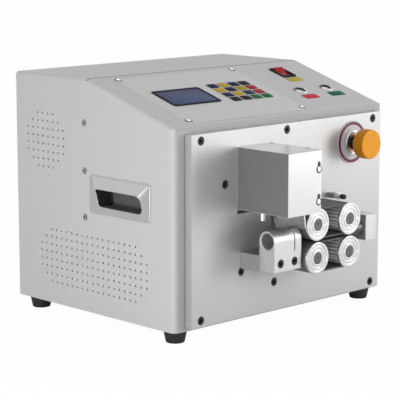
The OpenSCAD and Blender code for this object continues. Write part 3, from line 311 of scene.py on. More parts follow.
def number(tree, kind, a, b=None, c=None, clamp=False):
    """Math node whose inputs are sockets or numbers."""
    n = tree.nodes.new("ShaderNodeMath")
    n.operation = kind
    n.use_clamp = clamp
    for socket, value in zip(n.inputs, (a, b, c)):
        if isinstance(value, (int, float)):
            socket.default_value = value
        elif value is not None:
            wire(tree, value, socket)
    return n.outputs[0]


def vector(tree, kind, a, b=None):
    """Vector Math node; b is a socket or three numbers."""
    n = tree.nodes.new("ShaderNodeVectorMath")
    n.operation = kind
    wire(tree, a, n.inputs[0])
    if isinstance(b, bpy.types.NodeSocket):
        wire(tree, b, n.inputs["Scale" if kind == "SCALE" else 1])
    elif b is not None:
        n.inputs[1].default_value = b
    return n.outputs["Value" if kind == "LENGTH" else "Vector"]


def noise(tree, place, scale, detail=3.0, rough=0.55):
    n = tree.nodes.new("ShaderNodeTexNoise")
    n.inputs["Detail"].default_value = detail
    n.inputs["Roughness"].default_value = rough
    if isinstance(scale, (int, float)):
        n.inputs["Scale"].default_value = scale
    else:
        wire(tree, scale, n.inputs["Scale"])
    wire(tree, place, n.inputs["Vector"])
    return n.outputs[0]


def ranged(tree, value, start, end, low=0.0, high=1.0, kind="LINEAR"):
    """Value carried from the range start to end into the range low to high."""
    n = tree.nodes.new("ShaderNodeMapRange")
    n.interpolation_type = kind
    for key, level in (("From Min", start), ("From Max", end), ("To Min", low), ("To Max", high)):
        n.inputs[key].default_value = level
    wire(tree, value, n.inputs["Value"])
    return n.outputs["Result"]


def laid_over(tree, under, mask, colour):
    """The colour under, with another one over it as far as the mask goes."""
    n = tree.nodes.new("ShaderNodeMix")
    n.data_type = "RGBA"
    n.inputs["B"].default_value = (*colour, 1)
    wire(tree, mask, n.inputs["Factor"])
    wire(tree, under, n.inputs["A"])
    return n.outputs["Result"]


def object_place(tree):
    return tree.nodes.new("ShaderNodeTexCoord").outputs["Object"]


def object_axes(tree):
    n = tree.nodes.new("ShaderNodeSeparateXYZ")
    wire(tree, object_place(tree), n.inputs[0])
    return n.outputs


def make_patina():
    """Slow colour and gloss variation with faint specks of dust: tone = colour x (1 + spread x
    (noise - 0.5)), then a pale dust mixed in where a fine noise passes a threshold."""
    g, i, o = node_group(
        "patina",
        [("Vector", VECTOR, (0, 0, 0)), ("Colour", COLOUR, (0.5, 0.5, 0.5, 1)), ("Spread", VALUE, 0.08),
         ("Patch", VALUE, 30.0), ("Dust", VALUE, 0.03), ("Roughness", VALUE, 0.4),
         ("Rough Spread", VALUE, 0.1)],
        [("Colour", COLOUR), ("Roughness", VALUE)],
    )
    slow = noise(g, i["Vector"], i["Patch"], 4.0)
    fine = noise(g, i["Vector"], 900.0, 2.0)
    centred = number(g, "SUBTRACT", slow, 0.5)
    tint = vector(g, "SCALE", i["Colour"], number(g, "MULTIPLY_ADD", centred, i["Spread"], 1.0))
    speck = number(g, "MULTIPLY", number(g, "GREATER_THAN", fine, 0.66), i["Dust"])
    wire(g, laid_over(g, tint, speck, (0.62, 0.61, 0.59)), o["Colour"])
    gloss = number(g, "MULTIPLY_ADD", centred, i["Rough Spread"], i["Roughness"], clamp=True)
    wire(g, gloss, o["Roughness"])
    return g


def make_grain():
    """Relief height: a fine noise for texture added to a stretched one for brushed streaks, each
    with its own weight."""
    g, i, o = node_group(
        "grain",
        [("Vector", VECTOR, (0, 0, 0)), ("Fine Scale", VALUE, 1500.0), ("Fine", VALUE, 1.0),
         ("Stretch", VECTOR, (1, 1, 1)), ("Streaks", VALUE, 0.0)],
        [("Height", VALUE)],
    )
    fine = noise(g, i["Vector"], i["Fine Scale"], 2.0)
    streak = noise(g, vector(g, "MULTIPLY", i["Vector"], i["Stretch"]), 1.0, 3.0, 0.7)
    wire(g, number(g, "ADD", number(g, "MULTIPLY", fine, i["Fine"]),
                   number(g, "MULTIPLY", streak, i["Streaks"])), o["Height"])
    return g


def make_lathe_marks():
    """Rings left by a turning tool: a noise read only along the profile, so that it is the same all
    the way round."""
    g, i, o = node_group("lathe_marks", [("Along", VALUE, 0.0), ("Scale", VALUE, 6.0)],
                         [("Height", VALUE), ("Tone", VALUE)])
    line = g.nodes.new("ShaderNodeCombineXYZ")
    wire(g, number(g, "MULTIPLY", i["Along"], i["Scale"]), line.inputs["X"])
    mark = noise(g, line.outputs[0], 1.0, 3.0, 0.7)
    wire(g, mark, o["Height"])
    wire(g, number(g, "MULTIPLY_ADD", mark, 0.3, 0.85), o["Tone"])
    return g


PATINA, GRAIN, LATHE = make_patina(), make_grain(), make_lathe_marks()


# ---------------------------------------------------------------- finishes
def finish(name, colour, rough, metal=0.0, spread=0.06, patch=30.0, dust=0.02, rough_spread=0.12,
           fine_scale=1500.0, fine=1.0, stretch=(1, 1, 1), streaks=0.0, relief=0.08, depth=0.0002,
           lathe=0.0, **constants):
    """Material from the patina, grain and lathe groups. The other constants are set on the shader's
    own sockets."""
    m = bpy.data.materials.new(name)
    m.use_nodes = True
    m.diffuse_color = (*colour, 1)
    t = m.node_tree
    shader = t.nodes["Principled BSDF"]
    place = object_place(t)
    look = use(t, PATINA, Vector=place, Colour=(*colour, 1), Spread=spread, Patch=patch, Dust=dust,
               Roughness=rough, Rough_Spread=rough_spread)
    height = use(t, GRAIN, Vector=place, Fine_Scale=fine_scale, Fine=fine, Stretch=stretch,
                 Streaks=streaks)["Height"]
    tone = look["Colour"]
    if lathe:
        along = t.nodes.new("ShaderNodeAttribute")
        along.attribute_name = "along"
        marks = use(t, LATHE, Along=along.outputs["Fac"], Scale=lathe)
        height = number(t, "ADD", height, marks["Height"])
        tone = vector(t, "SCALE", tone, marks["Tone"])
    wire(t, tone, shader.inputs["Base Color"])
    wire(t, look["Roughness"], shader.inputs["Roughness"])
    bump = t.nodes.new("ShaderNodeBump")
    bump.inputs["Strength"].default_value = relief
    bump.inputs["Distance"].default_value = depth
    wire(t, height, bump.inputs["Height"])
    wire(t, bump.outputs["Normal"], shader.inputs["Normal"])
    shader.inputs["Metallic"].default_value = metal
    for key, value in constants.items():
        shader.inputs[key.replace("_", " ")].default_value = value
    return m


def base_colour(m):
    """A finish's node tree, what feeds its base colour, and the base colour's own socket."""
    socket = m.node_tree.nodes["Principled BSDF"].inputs["Base Color"]
    return m.node_tree, socket.links[0].from_socket, socket


CASE_PAINT = dict(colour=(0.578, 0.577, 0.578), rough=0.55, spread=0.05, patch=9.0, fine_scale=1300.0,
                  relief=0.10, Coat_Weight=0.05, Coat_Roughness=0.40)


def cover_coat():
    """The case's paint with painted shade. A dark line is painted along the crease where the slope meets the
    top: where the distance along Y from the fold is under 1 mm and the height is above the slope's upper end.
    The front flange is painted darker, as the shadow of the front plate's edge: its tone falls to 0.76 over the
    last 3 mm towards the lip."""
    m = finish("cover_coat", **CASE_PAINT)
    t, paint, socket = base_colour(m)
    axes = object_axes(t)
    _, fold, crease_shade_low = metres(y=165.0, z=308.5)
    off = number(t, "ABSOLUTE", number(t, "SUBTRACT", axes["Y"], fold))
    # painted shade: a dark line along the crease between slope and top
    line = number(t, "MULTIPLY", number(t, "LESS_THAN", off, 0.001),
                  number(t, "GREATER_THAN", axes["Z"], crease_shade_low))
    crease_shaded = laid_over(t, paint, line, (0.13, 0.09, 0.11))
    # painted shadow: the front flange darkens towards the lip, as in the front plate's shadow
    lip = ranged(t, axes["Y"], metres(y=0.1)[1], metres(y=3.3)[1], 0.76, 1.0, "SMOOTHSTEP")
    wire(t, vector(t, "SCALE", crease_shaded, lip), socket)
    return m


def folded_guard():
    """Guard sheet with painted shade along its fold: a darker line is painted where the front face's last 1 mm
    below the top meets the top's first 1 mm behind the front."""
    m = finish("guard_sheet", (0.60, 0.60, 0.605), 0.36, 0.7, spread=0.05, patch=18.0,
               stretch=(8, 8, 700), streaks=0.8, relief=0.05)
    t, sheet, socket = base_colour(m)
    axes = object_axes(t)
    _, behind, below = metres(y=GUARD_FACE + 1.0, z=GUARD_TOP - 0.2)
    # painted shade along the fold: the tone is halved there
    fold = number(t, "MULTIPLY", number(t, "LESS_THAN", axes["Y"], behind),
                  number(t, "GREATER_THAN", axes["Z"], below))
    wire(t, vector(t, "SCALE", sheet, number(t, "MULTIPLY_ADD", fold, -0.5, 1.0)), socket)
    return m


def dial_card():
    """Pale disc behind the stop button, with a thin dark red ring: its colour changes where the
    distance from the button's axis passes two radii."""
    m = finish("dial_card", (0.60, 0.595, 0.62), 0.42, spread=0.05, relief=0.03)
    t, card, socket = base_colour(m)
    x, _, z = metres(x=STOP_X, z=STOP_Z)
    from_axis = vector(t, "SUBTRACT", object_place(t), (x, 0.0, z))
    r = vector(t, "LENGTH", vector(t, "MULTIPLY", from_axis, (1, 0, 1)))
    band = number(t, "MULTIPLY", number(t, "GREATER_THAN", r, 0.0238), number(t, "LESS_THAN", r, 0.0281))
    wire(t, laid_over(t, card, band, (0.15, 0.004, 0.035)), socket)
    return m


def screen_glass():
    """Display behind its window: blue at the front edge, and greyer and darker up the slope, as a
    straight mix along Y over the window's length."""
    m = finish("screen_glass", (0.052, 0.085, 0.215), 0.42, spread=0.12, patch=20.0, relief=0.01,
               Specular_IOR_Level=0.12)
    t, blue, socket = base_colour(m)
    up = ranged(t, object_axes(t)["Y"], metres(y=62.9)[1], metres(y=100.9)[1])
    wire(t, laid_over(t, blue, up, (0.042, 0.050, 0.110)), socket)
    return m


cover_paint = cover_coat()
case_paint = finish("case_paint", **CASE_PAINT)
panel_paint = finish("panel_paint", (0.62, 0.62, 0.622), 0.42, spread=0.04, patch=12.0,
                     fine_scale=2200.0, relief=0.05)
zinc_sheet = finish("zinc_sheet", (0.50, 0.51, 0.52), 0.38, 0.9, spread=0.35, patch=140.0,
                    fine_scale=500.0, relief=0.05)
front_plate_metal = finish("front_plate_metal", (0.56, 0.56, 0.562), 0.42, 0.5, spread=0.05, patch=7.0,
                           stretch=(9, 500, 900), streaks=1.2, fine_scale=2600.0, relief=0.07)
milled = finish("milled_aluminium", (0.70, 0.71, 0.72), 0.30, 0.9, spread=0.10, patch=60.0,
                stretch=(40, 900, 700), streaks=1.0, relief=0.06)
cast_block = finish("guide_block_metal", (0.62, 0.62, 0.625), 0.44, 0.75, spread=0.05, patch=80.0,
                    stretch=(60, 700, 500), streaks=0.25, relief=0.05)
spacer_metal = finish("spacer_metal", (0.40, 0.40, 0.405), 0.42, 0.75, spread=0.08, patch=60.0,
                      stretch=(60, 700, 500), streaks=0.4, relief=0.05)
blade_steel = finish("blade_steel", (0.36, 0.365, 0.37), 0.32, 0.95, spread=0.08,
                     stretch=(60, 60, 1500), streaks=1.0, relief=0.06)
turned_disc = finish("turned_disc", (0.74, 0.745, 0.75), 0.27, 0.9, spread=0.05, lathe=7.0, relief=0.16)
core_metal = finish("tooth_tip_metal", (0.90, 0.90, 0.90), 0.45, spread=0.12, patch=90.0)
# dark copy of the tooth metal for the roots and the core's ends: painted shade between the teeth
core_shadow = finish("tooth_root_shade", (0.42, 0.42, 0.422), 0.50, spread=0.2, patch=90.0)
hub_metal = finish("hub_steel", (0.13, 0.13, 0.135), 0.42, 0.7, spread=0.3, patch=200.0, lathe=9.0,
                   relief=0.15)
black_oxide = finish("black_oxide", (0.022, 0.022, 0.024), 0.36, 0.3, spread=0.4, patch=300.0, dust=0.08,
                     relief=0.1)
button_cap = finish("button_cap", (0.92, 0.92, 0.93), 0.24, 0.4, spread=0.08, patch=120.0, lathe=5.0,
                    relief=0.05)
dark_screw = finish("dark_screw", (0.13, 0.13, 0.135), 0.24, 1.0, spread=0.3, patch=250.0, relief=0.05)
bright_screw = finish("bright_screw", (0.72, 0.72, 0.73), 0.22, 1.0, spread=0.2, patch=250.0, relief=0.05)
chrome = finish("chrome", (0.80, 0.81, 0.83), 0.10, 1.0, spread=0.05, patch=120.0, relief=0.02)
ground_rod = finish("ground_rod", (0.66, 0.67, 0.69), 0.20, 1.0, spread=0.08, stretch=(500, 500, 30),
                    streaks=1.0, relief=0.04)
plated_moulding = finish("plated_moulding", (0.62, 0.62, 0.622), 0.24, 0.75, spread=0.10, patch=40.0,
                         stretch=(60, 40, 500), streaks=0.6, relief=0.05)
pocket_dark = finish("pocket_dark", (0.15, 0.152, 0.154), 0.50, spread=0.2, patch=60.0, relief=0.06,
                     Specular_IOR_Level=0.2)
# near-black copy of the pocket's plastic for the well's end walls: painted shade
pocket_end_shade = finish("pocket_end_shade", (0.030, 0.031, 0.032), 0.55, spread=0.3, patch=60.0, relief=0.06,
                     Specular_IOR_Level=0.1)
screen_frame = finish("screen_frame", (0.012, 0.013, 0.019), 0.50, spread=0.15, relief=0.05,
                      Specular_IOR_Level=0.08)
foot_rubber = finish("foot_rubber", (0.016, 0.016, 0.017), 0.55, spread=0.3, patch=120.0, dust=0.06,
                     relief=0.12)
rubber_belt = finish("rubber_belt", (0.105, 0.105, 0.107), 0.55, spread=0.4, patch=160.0, dust=0.10,
                     relief=0.15)
dark_moulding = finish("dark_moulding", (0.026, 0.026, 0.028), 0.45, spread=0.25, patch=90.0, dust=0.04,
                       relief=0.12)
motor_coat = finish("motor_coat", (0.028, 0.028, 0.030), 0.40, 0.2, spread=0.3, patch=90.0, relief=0.12)
amber = finish("amber_head", (0.86, 0.34, 0.010), 0.36, spread=0.10, patch=60.0, relief=0.05,
               Specular_IOR_Level=0.15, Coat_Weight=0.08, Coat_Roughness=0.12)
# darker copy of the amber for the head's side and back: painted shade
amber_painted_shade = finish("amber_painted_shade", (0.60, 0.225, 0.008), 0.42, spread=0.35, patch=260.0, relief=0.06,
                    Specular_IOR_Level=0.15)
red_lens = finish("rocker_lens", (0.36, 0.006, 0.008), 0.32, spread=0.3, patch=200.0, relief=0.02,
                  Specular_IOR_Level=0.12, Coat_Weight=0.04, Coat_Roughness=0.08)
guard_sheet = folded_guard()
# dark coat for the guard's left face: painted shade, a flat dark tone for the shade on that face
guard_left_shade = finish("guard_face_painted_shade", (0.165, 0.165, 0.168), 0.55, spread=0.05, patch=15.0, relief=0.05)
mask_green = finish("solder_mask", (0.015, 0.10, 0.045), 0.35, spread=0.3, patch=180.0, relief=0.06)
film = finish("key_film", (0.50, 0.50, 0.51), 0.40, spread=0.04, patch=25.0, relief=0.04)
dial = dial_card()
lcd_glass = screen_glass()
label_finish = {
    tag: finish("label_" + tag, colour, 0.50, spread=0.08, relief=0.04, Specular_IOR_Level=gloss)
    for tag, colour, gloss in (("yellow", (0.48, 0.41, 0.065), 0.12), ("red", (0.56, 0.034, 0.056), 0.12),
                               ("green", (0.003, 0.135, 0.068), 0.05))
}
key_finish = {
    tag: finish("key_" + tag, colour, 0.50, spread=0.10, patch=200.0, relief=0.05, Specular_IOR_Level=0.05)
    for tag, colour in (("navy", (0.014, 0.016, 0.060)), ("yellow", (0.52, 0.36, 0.03)),
                        ("olive", (0.38, 0.31, 0.035)), ("teal", (0.010, 0.045, 0.055)),
                        ("red", (0.40, 0.030, 0.045)), ("green", (0.008, 0.14, 0.045)),
                        ("black", (0.010, 0.010, 0.016)))
}

DRESS = {  # finishes of the nodes that stay as they are
    cover_paint: ["cover"],
    case_paint: ["rear_panel"],
    zinc_sheet: ["base_tray", "front_frame", "motor_bracket", "power_supply"],
    front_plate_metal: ["front_plate"],
    milled: ["cutter_bracket", "blade_carriage", "lift_plate"],
    cast_block: ["guide_block", "inlet_block"],
    spacer_metal: ["spacer_block"],
    black_oxide: ["blade_holder"],
    hub_metal: ["inlet_nozzle"],
    chrome: ["plate_bearings", "lift_bearings"],
    ground_rod: ["cutter_rail", "guide_post", "cutter_screw", "lift_guides"],
    dial: ["estop_disc"],
    dark_moulding: ["power_inlet", "fan_housing", "fan_rotor"],
    guard_sheet: ["guard"],
    blade_steel: ["blade"],
    motor_coat: ["cutter_motor", "lower_motor", "upper_motor"],
    mask_green: ["control_board"],
}
for look, names in DRESS.items():
    for each in names:
        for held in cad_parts[each].material_slots:
            held.material = look


# ---------------------------------------------------------------- fasteners
def socket_screw():
    """Socket cap head, its top at height 0: a side with 36 ribs, where r grows by 0.12 cos 36a, a
    rounded rim, and a hexagon socket that narrows to its floor 3.5 mm down."""
    path = eased([(3.0, -6.0), (5.0, -6.0), (5.0, -0.9), (4.2, 0.0), (3.3, 0.0)], 0.35, 3)
    a = np.linspace(0, 2 * math.pi, 144, endpoint=False)[None, :]
    r, h = path[:, :1], path[:, 1:]
    side = r + 0.12 * np.cos(36 * a) * ((r > 4.9) & (h < -0.7))
    wall = six(a, 2.45)
    reach = np.vstack([side, wall + 0.25, wall, wall, wall * 0.55, wall * 0.1])
    height = np.broadcast_to(np.vstack([h, [[0.0], [-0.3], [-3.0], [-3.4], [-3.5]]]), reach.shape)
    return lofted(np.stack([reach * np.cos(a), reach * np.sin(a), height], -1))


def pan_head():
    """Pan head, its seat at height 0: a low dome, 0.05 + sqrt(1 - (r / 4.2)^2) high at radius r, with
    a cross recess. A cross of half length l and half width w reaches
    max(min(l/|cos|, w/|sin|), min(w/|cos|, l/|sin|)) in each direction."""
    count = 96
    a = np.linspace(0, 2 * math.pi, count, endpoint=False)[None, :]
    c, s = np.abs(np.cos(a)) + 1e-6, np.abs(np.sin(a)) + 1e-6
    cross = lambda l, w: np.maximum(np.minimum(l / c, w / s), np.minimum(w / c, l / s))
    dome = lambda r: np.sqrt(np.clip(1 - (r / 4.2) ** 2, 0, 1)) + 0.05
    level = lambda value: np.full((1, count), float(value))
    circles = np.linspace(3.3, 2.4, 5)
    mouth = cross(2.3, 0.75)
    reach = np.vstack([level(3.1), level(3.3), *map(level, circles), mouth, cross(1.9, 0.6), cross(0.6, 0.3)])
    height = np.vstack([level(0.0), level(0.2), *map(level, dome(circles)), dome(mouth),
                        level(dome(1.2) - 0.5), level(dome(1.2) - 0.9)])
    shape = lofted(np.stack([reach * np.cos(a), reach * np.sin(a), height], -1))
    sides = shape.faces[0][0]
    band = sides[:, 0] // count
    on_dome = (band > 1) & (band < 7)
    shape.faces = [(sides[on_dome], 0), (sides[~on_dome], 1)] + [(f, 1) for f, _ in shape.faces[1:]]
    return shape


cap = socket_screw()
PLATE_BOLTS = [(-165, 243.9), (-8, 243.9), (165, 243.9), (-165, 13.7), (165, 13.7), (-122, 184),
               (-92.5, 66.5), (-30.5, 43.5)]
GUIDE_BOLTS = [(-78.5, 83.3), (-52.7, 83.3)]
piece("socket_screws", joined(
    *[cap.placed(on_front(x, z, PLATE_FACE + 0.3)) for x, z in PLATE_BOLTS],
    *[cap.placed(on_front(x, z, GUIDE_FACE)) for x, z in GUIDE_BOLTS],
), [black_oxide], stands_for=["cap_screws"])

SCREW_FINISHES = [bright_screw, black_oxide, dark_screw, button_cap]
BRIGHT, BLACK, DARK, PALE = range(4)
pan = pan_head()
# slope and guard screws: the black ring round each head is painted shade, standing for the gap round it
bright_pan = joined(pan.finished(PALE), tube(
    [(3.0, 0.0), (4.9, 0.0), (4.9, 0.2), (4.7, 0.3), (3.0, 0.3)], count=48).finished(BLACK))
# side screws: the dark ring round each head is painted shade
side_pan = joined(pan, tube([(3.0, 0.0), (4.3, 0.0), (4.2, 0.25), (3.0, 0.4)], count=48).finished(DARK))
dark_pan = joined(pan, tube([(3.0, 0.0), (4.2, 0.0), (4.1, 0.35), (3.0, 0.5)], count=48)).finished(DARK)
# black patch above each guard screw: painted shade, standing for the dark inside of the guard's slot
keyhole_shade = slab(5.2, 6.6, 2.5, -1.0, 0.12, 0.05, 6).finished(BLACK)
SIDE_SCREW_Z = (127.5, 189.7, 253)
PANEL_SCREWS = [(-53.5 + i * 105.5, 87.5 + j * 70) for i in (-1, 1) for j in (-1, 1)]
GUARD_X, GUARD_SCREW_Z = -43.5, (163.5, 204.9)
piece("cross_screws", joined(
    *[side_pan.placed(on_left(172, z)) for z in SIDE_SCREW_Z],
    *[side_pan.placed(on_right(172, z)) for z in SIDE_SCREW_Z],
    *[bright_pan.placed(on_slope(x, s, PANEL_LIFT)) for x, s in PANEL_SCREWS],
    *[bright_pan.placed(on_front(GUARD_X, z, GUARD_FACE)) for z in GUARD_SCREW_Z],
    *[keyhole_shade.placed(on_front(GUARD_X, z + 7.0, GUARD_FACE)) for z in GUARD_SCREW_Z],
    *[dark_pan.placed(facing_up(GUARD_X, y, GUARD_TOP)) for y in (-80.5, -18)],
    *[dark_pan.placed(facing_down(x, y, -5)) for x, y in FEET],
), SCREW_FINISHES, stands_for=["pan_screws"])

foot = turned([(2.4, -5.0), (5.0, -5.0), (5.0, -17.0), (12.0, -17.0), (12.6, -14.5), (15.5, -1.0),
               (15.5, 0.0), (2.4, 0.0)], 0.9, 64)
piece("rubber_feet", joined(*[foot.placed(facing_up(x, y, 0)) for x, y in FEET]), [foot_rubber],
      stands_for=["feet"])


# ---------------------------------------------------------------- handle pockets
def handle_pocket():
    """Plated flange, hooded finger opening and deep well, closed behind by a wall of its own. Loops
    are rounded rectangles between a lower and an upper height. Round the opening they stand out by
    1.8 + 7 t^1.5 mm, where t rises from 0 to 1 between 5 mm below and 9 mm above the flange's
    middle, so that the hood's sloping top and its two cheeks run down from the flange's corners to
    the lip."""
    hood = lambda v: 1.8 + 7.0 * np.clip((v + 5.0) / 14.0, 0, 1) ** 1.5
    flat = lambda out: (lambda v: np.full_like(v, out))
    rows = [  # width, lower, upper, corner, distance out
        (81.6, -13.8, 13.3, 4.4, flat(-23.8)), (85.6, -15.6, 15.2, 6.8, flat(-21.4)),
        (86.4, -15.9, 15.4, 6.8, flat(0.0)), (117.5, -25.25, 25.25, 3.0, flat(0.0)),
        (117.5, -25.25, 25.25, 3.0, flat(1.0)), (116.9, -24.95, 24.95, 2.8, flat(1.6)),
        (115.9, -24.4, 24.4, 2.6, flat(1.85)), (113.6, -23.2, 23.4, 2.4, flat(1.8)),
        (88.0, -16.4, 10.0, 7.0, lambda v: hood(v) - 0.05), (86.4, -15.7, 9.3, 7.0, hood),
        (85.4, -15.3, 8.7, 6.6, lambda v: hood(v) - 0.5), (85.0, -15.1, 8.5, 6.4, lambda v: hood(v) - 1.8),
        (84.8, -15.1, 12.0, 6.4, flat(-1.0)), (84.8, -15.1, 14.6, 6.4, flat(-3.0)),
        (84.0, -14.8, 14.4, 6.4, flat(-21.0)), (80.0, -13.0, 12.5, 4.0, flat(-23.0)),
    ]
    first_well_row = 10
    loops = []
    for w, low, high, r, out in rows:
        o = rounded_box(w, high - low, r, 8) + (0, (high + low) / 2)
        loops.append(np.column_stack([o, out(o[:, 1])]))
    shape = lofted(loops)
    sides, back, floor = (f for f, _ in shape.faces)
    well = sides[:, 0] // len(loops[0]) >= first_well_row
    # the well's end walls take the near-black finish: painted shade
    end_wall = np.abs(shape.points[sides].mean(1)[:, 0]) > 37.5
    shape.faces = [(sides[~well], 0), (sides[well & end_wall], 1), (sides[well & ~end_wall], 2),
                   (back, 2), (floor, 2)]
    return shape


pocket = handle_pocket()
piece("handle_pockets", joined(pocket.placed(on_left(101.4, 161)), pocket.placed(on_right(101.4, 161))),
      [plated_moulding, pocket_end_shade, pocket_dark], stands_for=["handle_cups"],
      crisp=22)


# ---------------------------------------------------------------- control plate, display and keys
def control_plate():
    """Panel plate with its outline as rounded rectangles: the left, right and upper borders feather
    down over 3 mm, and the front one, below the lower screws, keeps a crisp step."""
    rows = []
    for inset, z in ((0.0, 0.0), (0.0, 0.06), (1.5, 0.75), (3.0, PANEL_LIFT)):
        o = rounded_box(224 - 2 * inset, 152 - inset, 3.0, 6) - (0, 0.5 * inset)
        rows.append(np.column_stack([o, np.full(len(o), z)]))
    return lofted(rows)


display_at = on_slope(-100.5, 86, PANEL_LIFT)
piece("display_frame", stepped([
    (86, 50, 4, 0), (86, 50, 4, 0.7), (85.2, 49.2, 3.8, 1.1), (77.4, 41.4, 2.2, 1.1), (76.6, 40.6, 2.0, 0.5),
], 8).placed(display_at), [screen_frame], stands_for=["lcd_frame"])
piece("display_glass", slab(76.4, 40.4, 1.6, 0.45, 0.85, 0.2).placed(display_at), [lcd_glass],
      stands_for=["lcd_screen"])
piece("control_plate", control_plate().placed(on_slope(-53.5, 87.5)), [panel_paint],
      stands_for=["control_panel"], crisp=5.0)
piece("keypad_sheet", slab(77.6, 60.6, 3.0, PANEL_LIFT, 1.5, 0.12).placed(on_slope(-1.3, 86.05)), [film],
      stands_for=["keypad_film"])
KEY_ROWS = [  # from the front edge up the slope, left to right
    ("black", "black", "green", "green"), ("navy", "yellow", "teal", "red"),
    ("yellow", "navy", "olive", "red"), ("navy", "yellow", "navy", "black"),
]
key = slab(15.2, 11.8, 0.9, 0.0, 0.8, 0.2, 4)
key_order = list(key_finish)
piece("keypad_keys_raised", joined(*[
    key.finished(key_order.index(KEY_ROWS[r][c])).placed(on_slope(-31 + 19.8 * c, 63.1 + 15.3 * r, 1.5))
    for r in range(4) for c in range(4)
]), list(key_finish.values()), stands_for=["keypad_keys"])

for tag, x, s in (("yellow", 130, 107), ("red", 102, 48.7), ("green", 155, 48.7)):
    piece("plate_" + tag, slab(27, 13, 1.2, 0.0, 0.6, 0.2, 4).placed(on_slope(x, s)), [label_finish[tag]],
          stands_for=["label_" + tag])


# ---------------------------------------------------------------- buttons and rocker
def button_ring():
    """Two nested tubes round a push button: an outer one, bright but for its half up the slope, which is
    painted black as a painted dark reflection, and a black inner one, painted shade standing for the gap round
    the button."""
    outer = tube([(8.4, -6), (8.4, 0), (9.2, 0), (9.2, 1.5), (8.8, 2.0), (7.6, 2.0), (7.2, 1.7), (7.2, -6)],
                 0.2)
    skin = outer.faces[0][0]
    # the half up the slope takes the black finish: painted reflection
    far = outer.points[skin].mean(1)[:, 1] > 1.5
    outer.faces = [(skin[~far], 0), (skin[far], 1)]
    return joined(outer, tube([(7.2, -6), (7.2, 1.8), (6.8, 1.8), (6.6, 1.5), (6.6, -6)], 0.2).finished(1))


BUTTONS = (("start", 155), ("stop", 102))
piece("button_rings", joined(*[button_ring().placed(on_slope(x, 68.7)) for _, x in BUTTONS]),
      [button_cap, black_oxide], stands_for=["button_bezels"])
push = turned([(6.2, -6), (6.2, -0.4), (5.8, -0.1), (4.4, 0.0), (0.4, 0.1)], 0.2)
for tag, x in BUTTONS:
    piece(tag + "_cap_turned", push.placed(on_slope(x, 68.7)), [button_cap], body=tag + "_cap",
          stands_for=[tag + "_button"])


def rocker_paddle():
    """Rocker: the height over its length is a shallow V with raised ends, carried across its
    width; its sides draw in a little at the top, and three ribs cross the far end. It is turned by
    9 degrees, half of its swing."""
    half_length, half_width, shoulder = 12.0, 9.6, 0.6
    s = np.linspace(-half_length, half_length, 49)
    ribs = 0.25 * np.where((s > 4) & (s < 10), np.cos(s * math.pi) > 0, 0)
    top = 1.8 + 3.0 * (np.abs(s) / half_length) ** 1.3 + ribs
    low = np.full_like(s, -3.0)
    section = lambda across, z: np.stack([np.full_like(s, across), s, z], -1)
    w, e = half_width, shoulder
    cols = np.stack([section(-w, low), section(w, low), section(w, top - e), section(w - e, top),
                     section(-w + e, top), section(-w, top - e)], 1)
    shape = lofted(cols[::-1])
    sides, far_end, near_end = (f for f, _ in shape.faces)
    # painted shade: the near end takes the black finish
    near = s[::-1][sides[:, 0] // 6] < -6.5
    shape.faces = [(sides[~near], 0), (sides[near], 1), (far_end, 0), (near_end, 1)]
    c, n = math.cos(math.radians(9)), math.sin(math.radians(9))
    turn = np.array([[1, 0, 0], [0, c, n], [0, -n, c]])
    return Shape(shape.points @ turn + (0, 0, -2), shape.faces)


rocker_at = on_slope(130, 132)
# the paddle's second finish, black, is painted shade on its near end
piece("rocker_paddle", rocker_paddle().placed(rocker_at), [red_lens, screen_frame], body="rocker",
      stands_for=["rocker_switch"], crisp=30)
piece("rocker_rim", stepped([
    (21.2, 27.2, 1, -9.6), (21.2, 27.2, 1, 0), (26, 31.5, 2, 0), (26, 31.5, 2, 1.5), (25.4, 30.9, 1.8, 2.0),
    (20.8, 26.8, 1, 2.0), (20, 26, 0.8, 1.3), (20, 26, 0.8, -9),
]).placed(rocker_at), [screen_frame], stands_for=["rocker_housing"])

# ---------------------------------------------------------------- stop button
stop_at = on_front(STOP_X, STOP_Z)
# twenty-four shallow flutes round the collar's side
flutes = lambda a, r, h: r - 0.35 * (np.cos(24 * a) > 0.2) * ((r > 16.5) & (h > 3.2) & (h < 5.2))
piece("stop_collar", tube(
    [(9.0, 1.5), (17.0, 1.5), (17.0, 4.6), (16.2, 6.0), (13.6, 6.0), (12.4, 5.0), (9.0, 5.0)],
    0.3, 144, flutes).placed(stop_at), [chrome], stands_for=["estop_body"])
piece("stop_neck", turned([(7.0, 4.6), (7.0, 15.6), (5.0, 16.4), (5.0, 20.0)], 0.4).placed(stop_at),
      [dark_moulding], body="estop_plunger", stands_for=["estop_stem"])


def stop_head():
    """Mushroom head whose side has sixty low ribs, r - 0.22 (0.5 + 0.5 cos 60a). The front face keeps the
    amber; the side and back take a darker copy of it, painted shade."""
    ribs = lambda a, r, h: r - 0.22 * (0.5 + 0.5 * np.cos(60 * a)) * ((r > 19.7) & (h > 20.6) & (h < 33.8))
    head = turned([(5.5, 15.4), (13.6, 15.1), (15.4, 15.6), (19.3, 19.2), (20.0, 21.0), (20.0, 34.6),
                   (19.0, 35.8), (16.5, 36.0), (10.0, 35.75), (0.5, 35.6)], 0.7, 360, ribs)
    sides, back, middle = (f for f, _ in head.faces)
    corners = head.points[sides]
    face = (corners[:, :, 2].max(1) > 34.4) & (np.hypot(*corners[:, :, :2].mean(1).T) < 19.6)
    head.faces = [(sides[face], 0), (sides[~face], 1), (back, 1), (middle, 0)]
    return head


piece("stop_head_moulded", stop_head().placed(stop_at), [amber, amber_painted_shade], body="estop_knob",
      stands_for=["estop_head"])

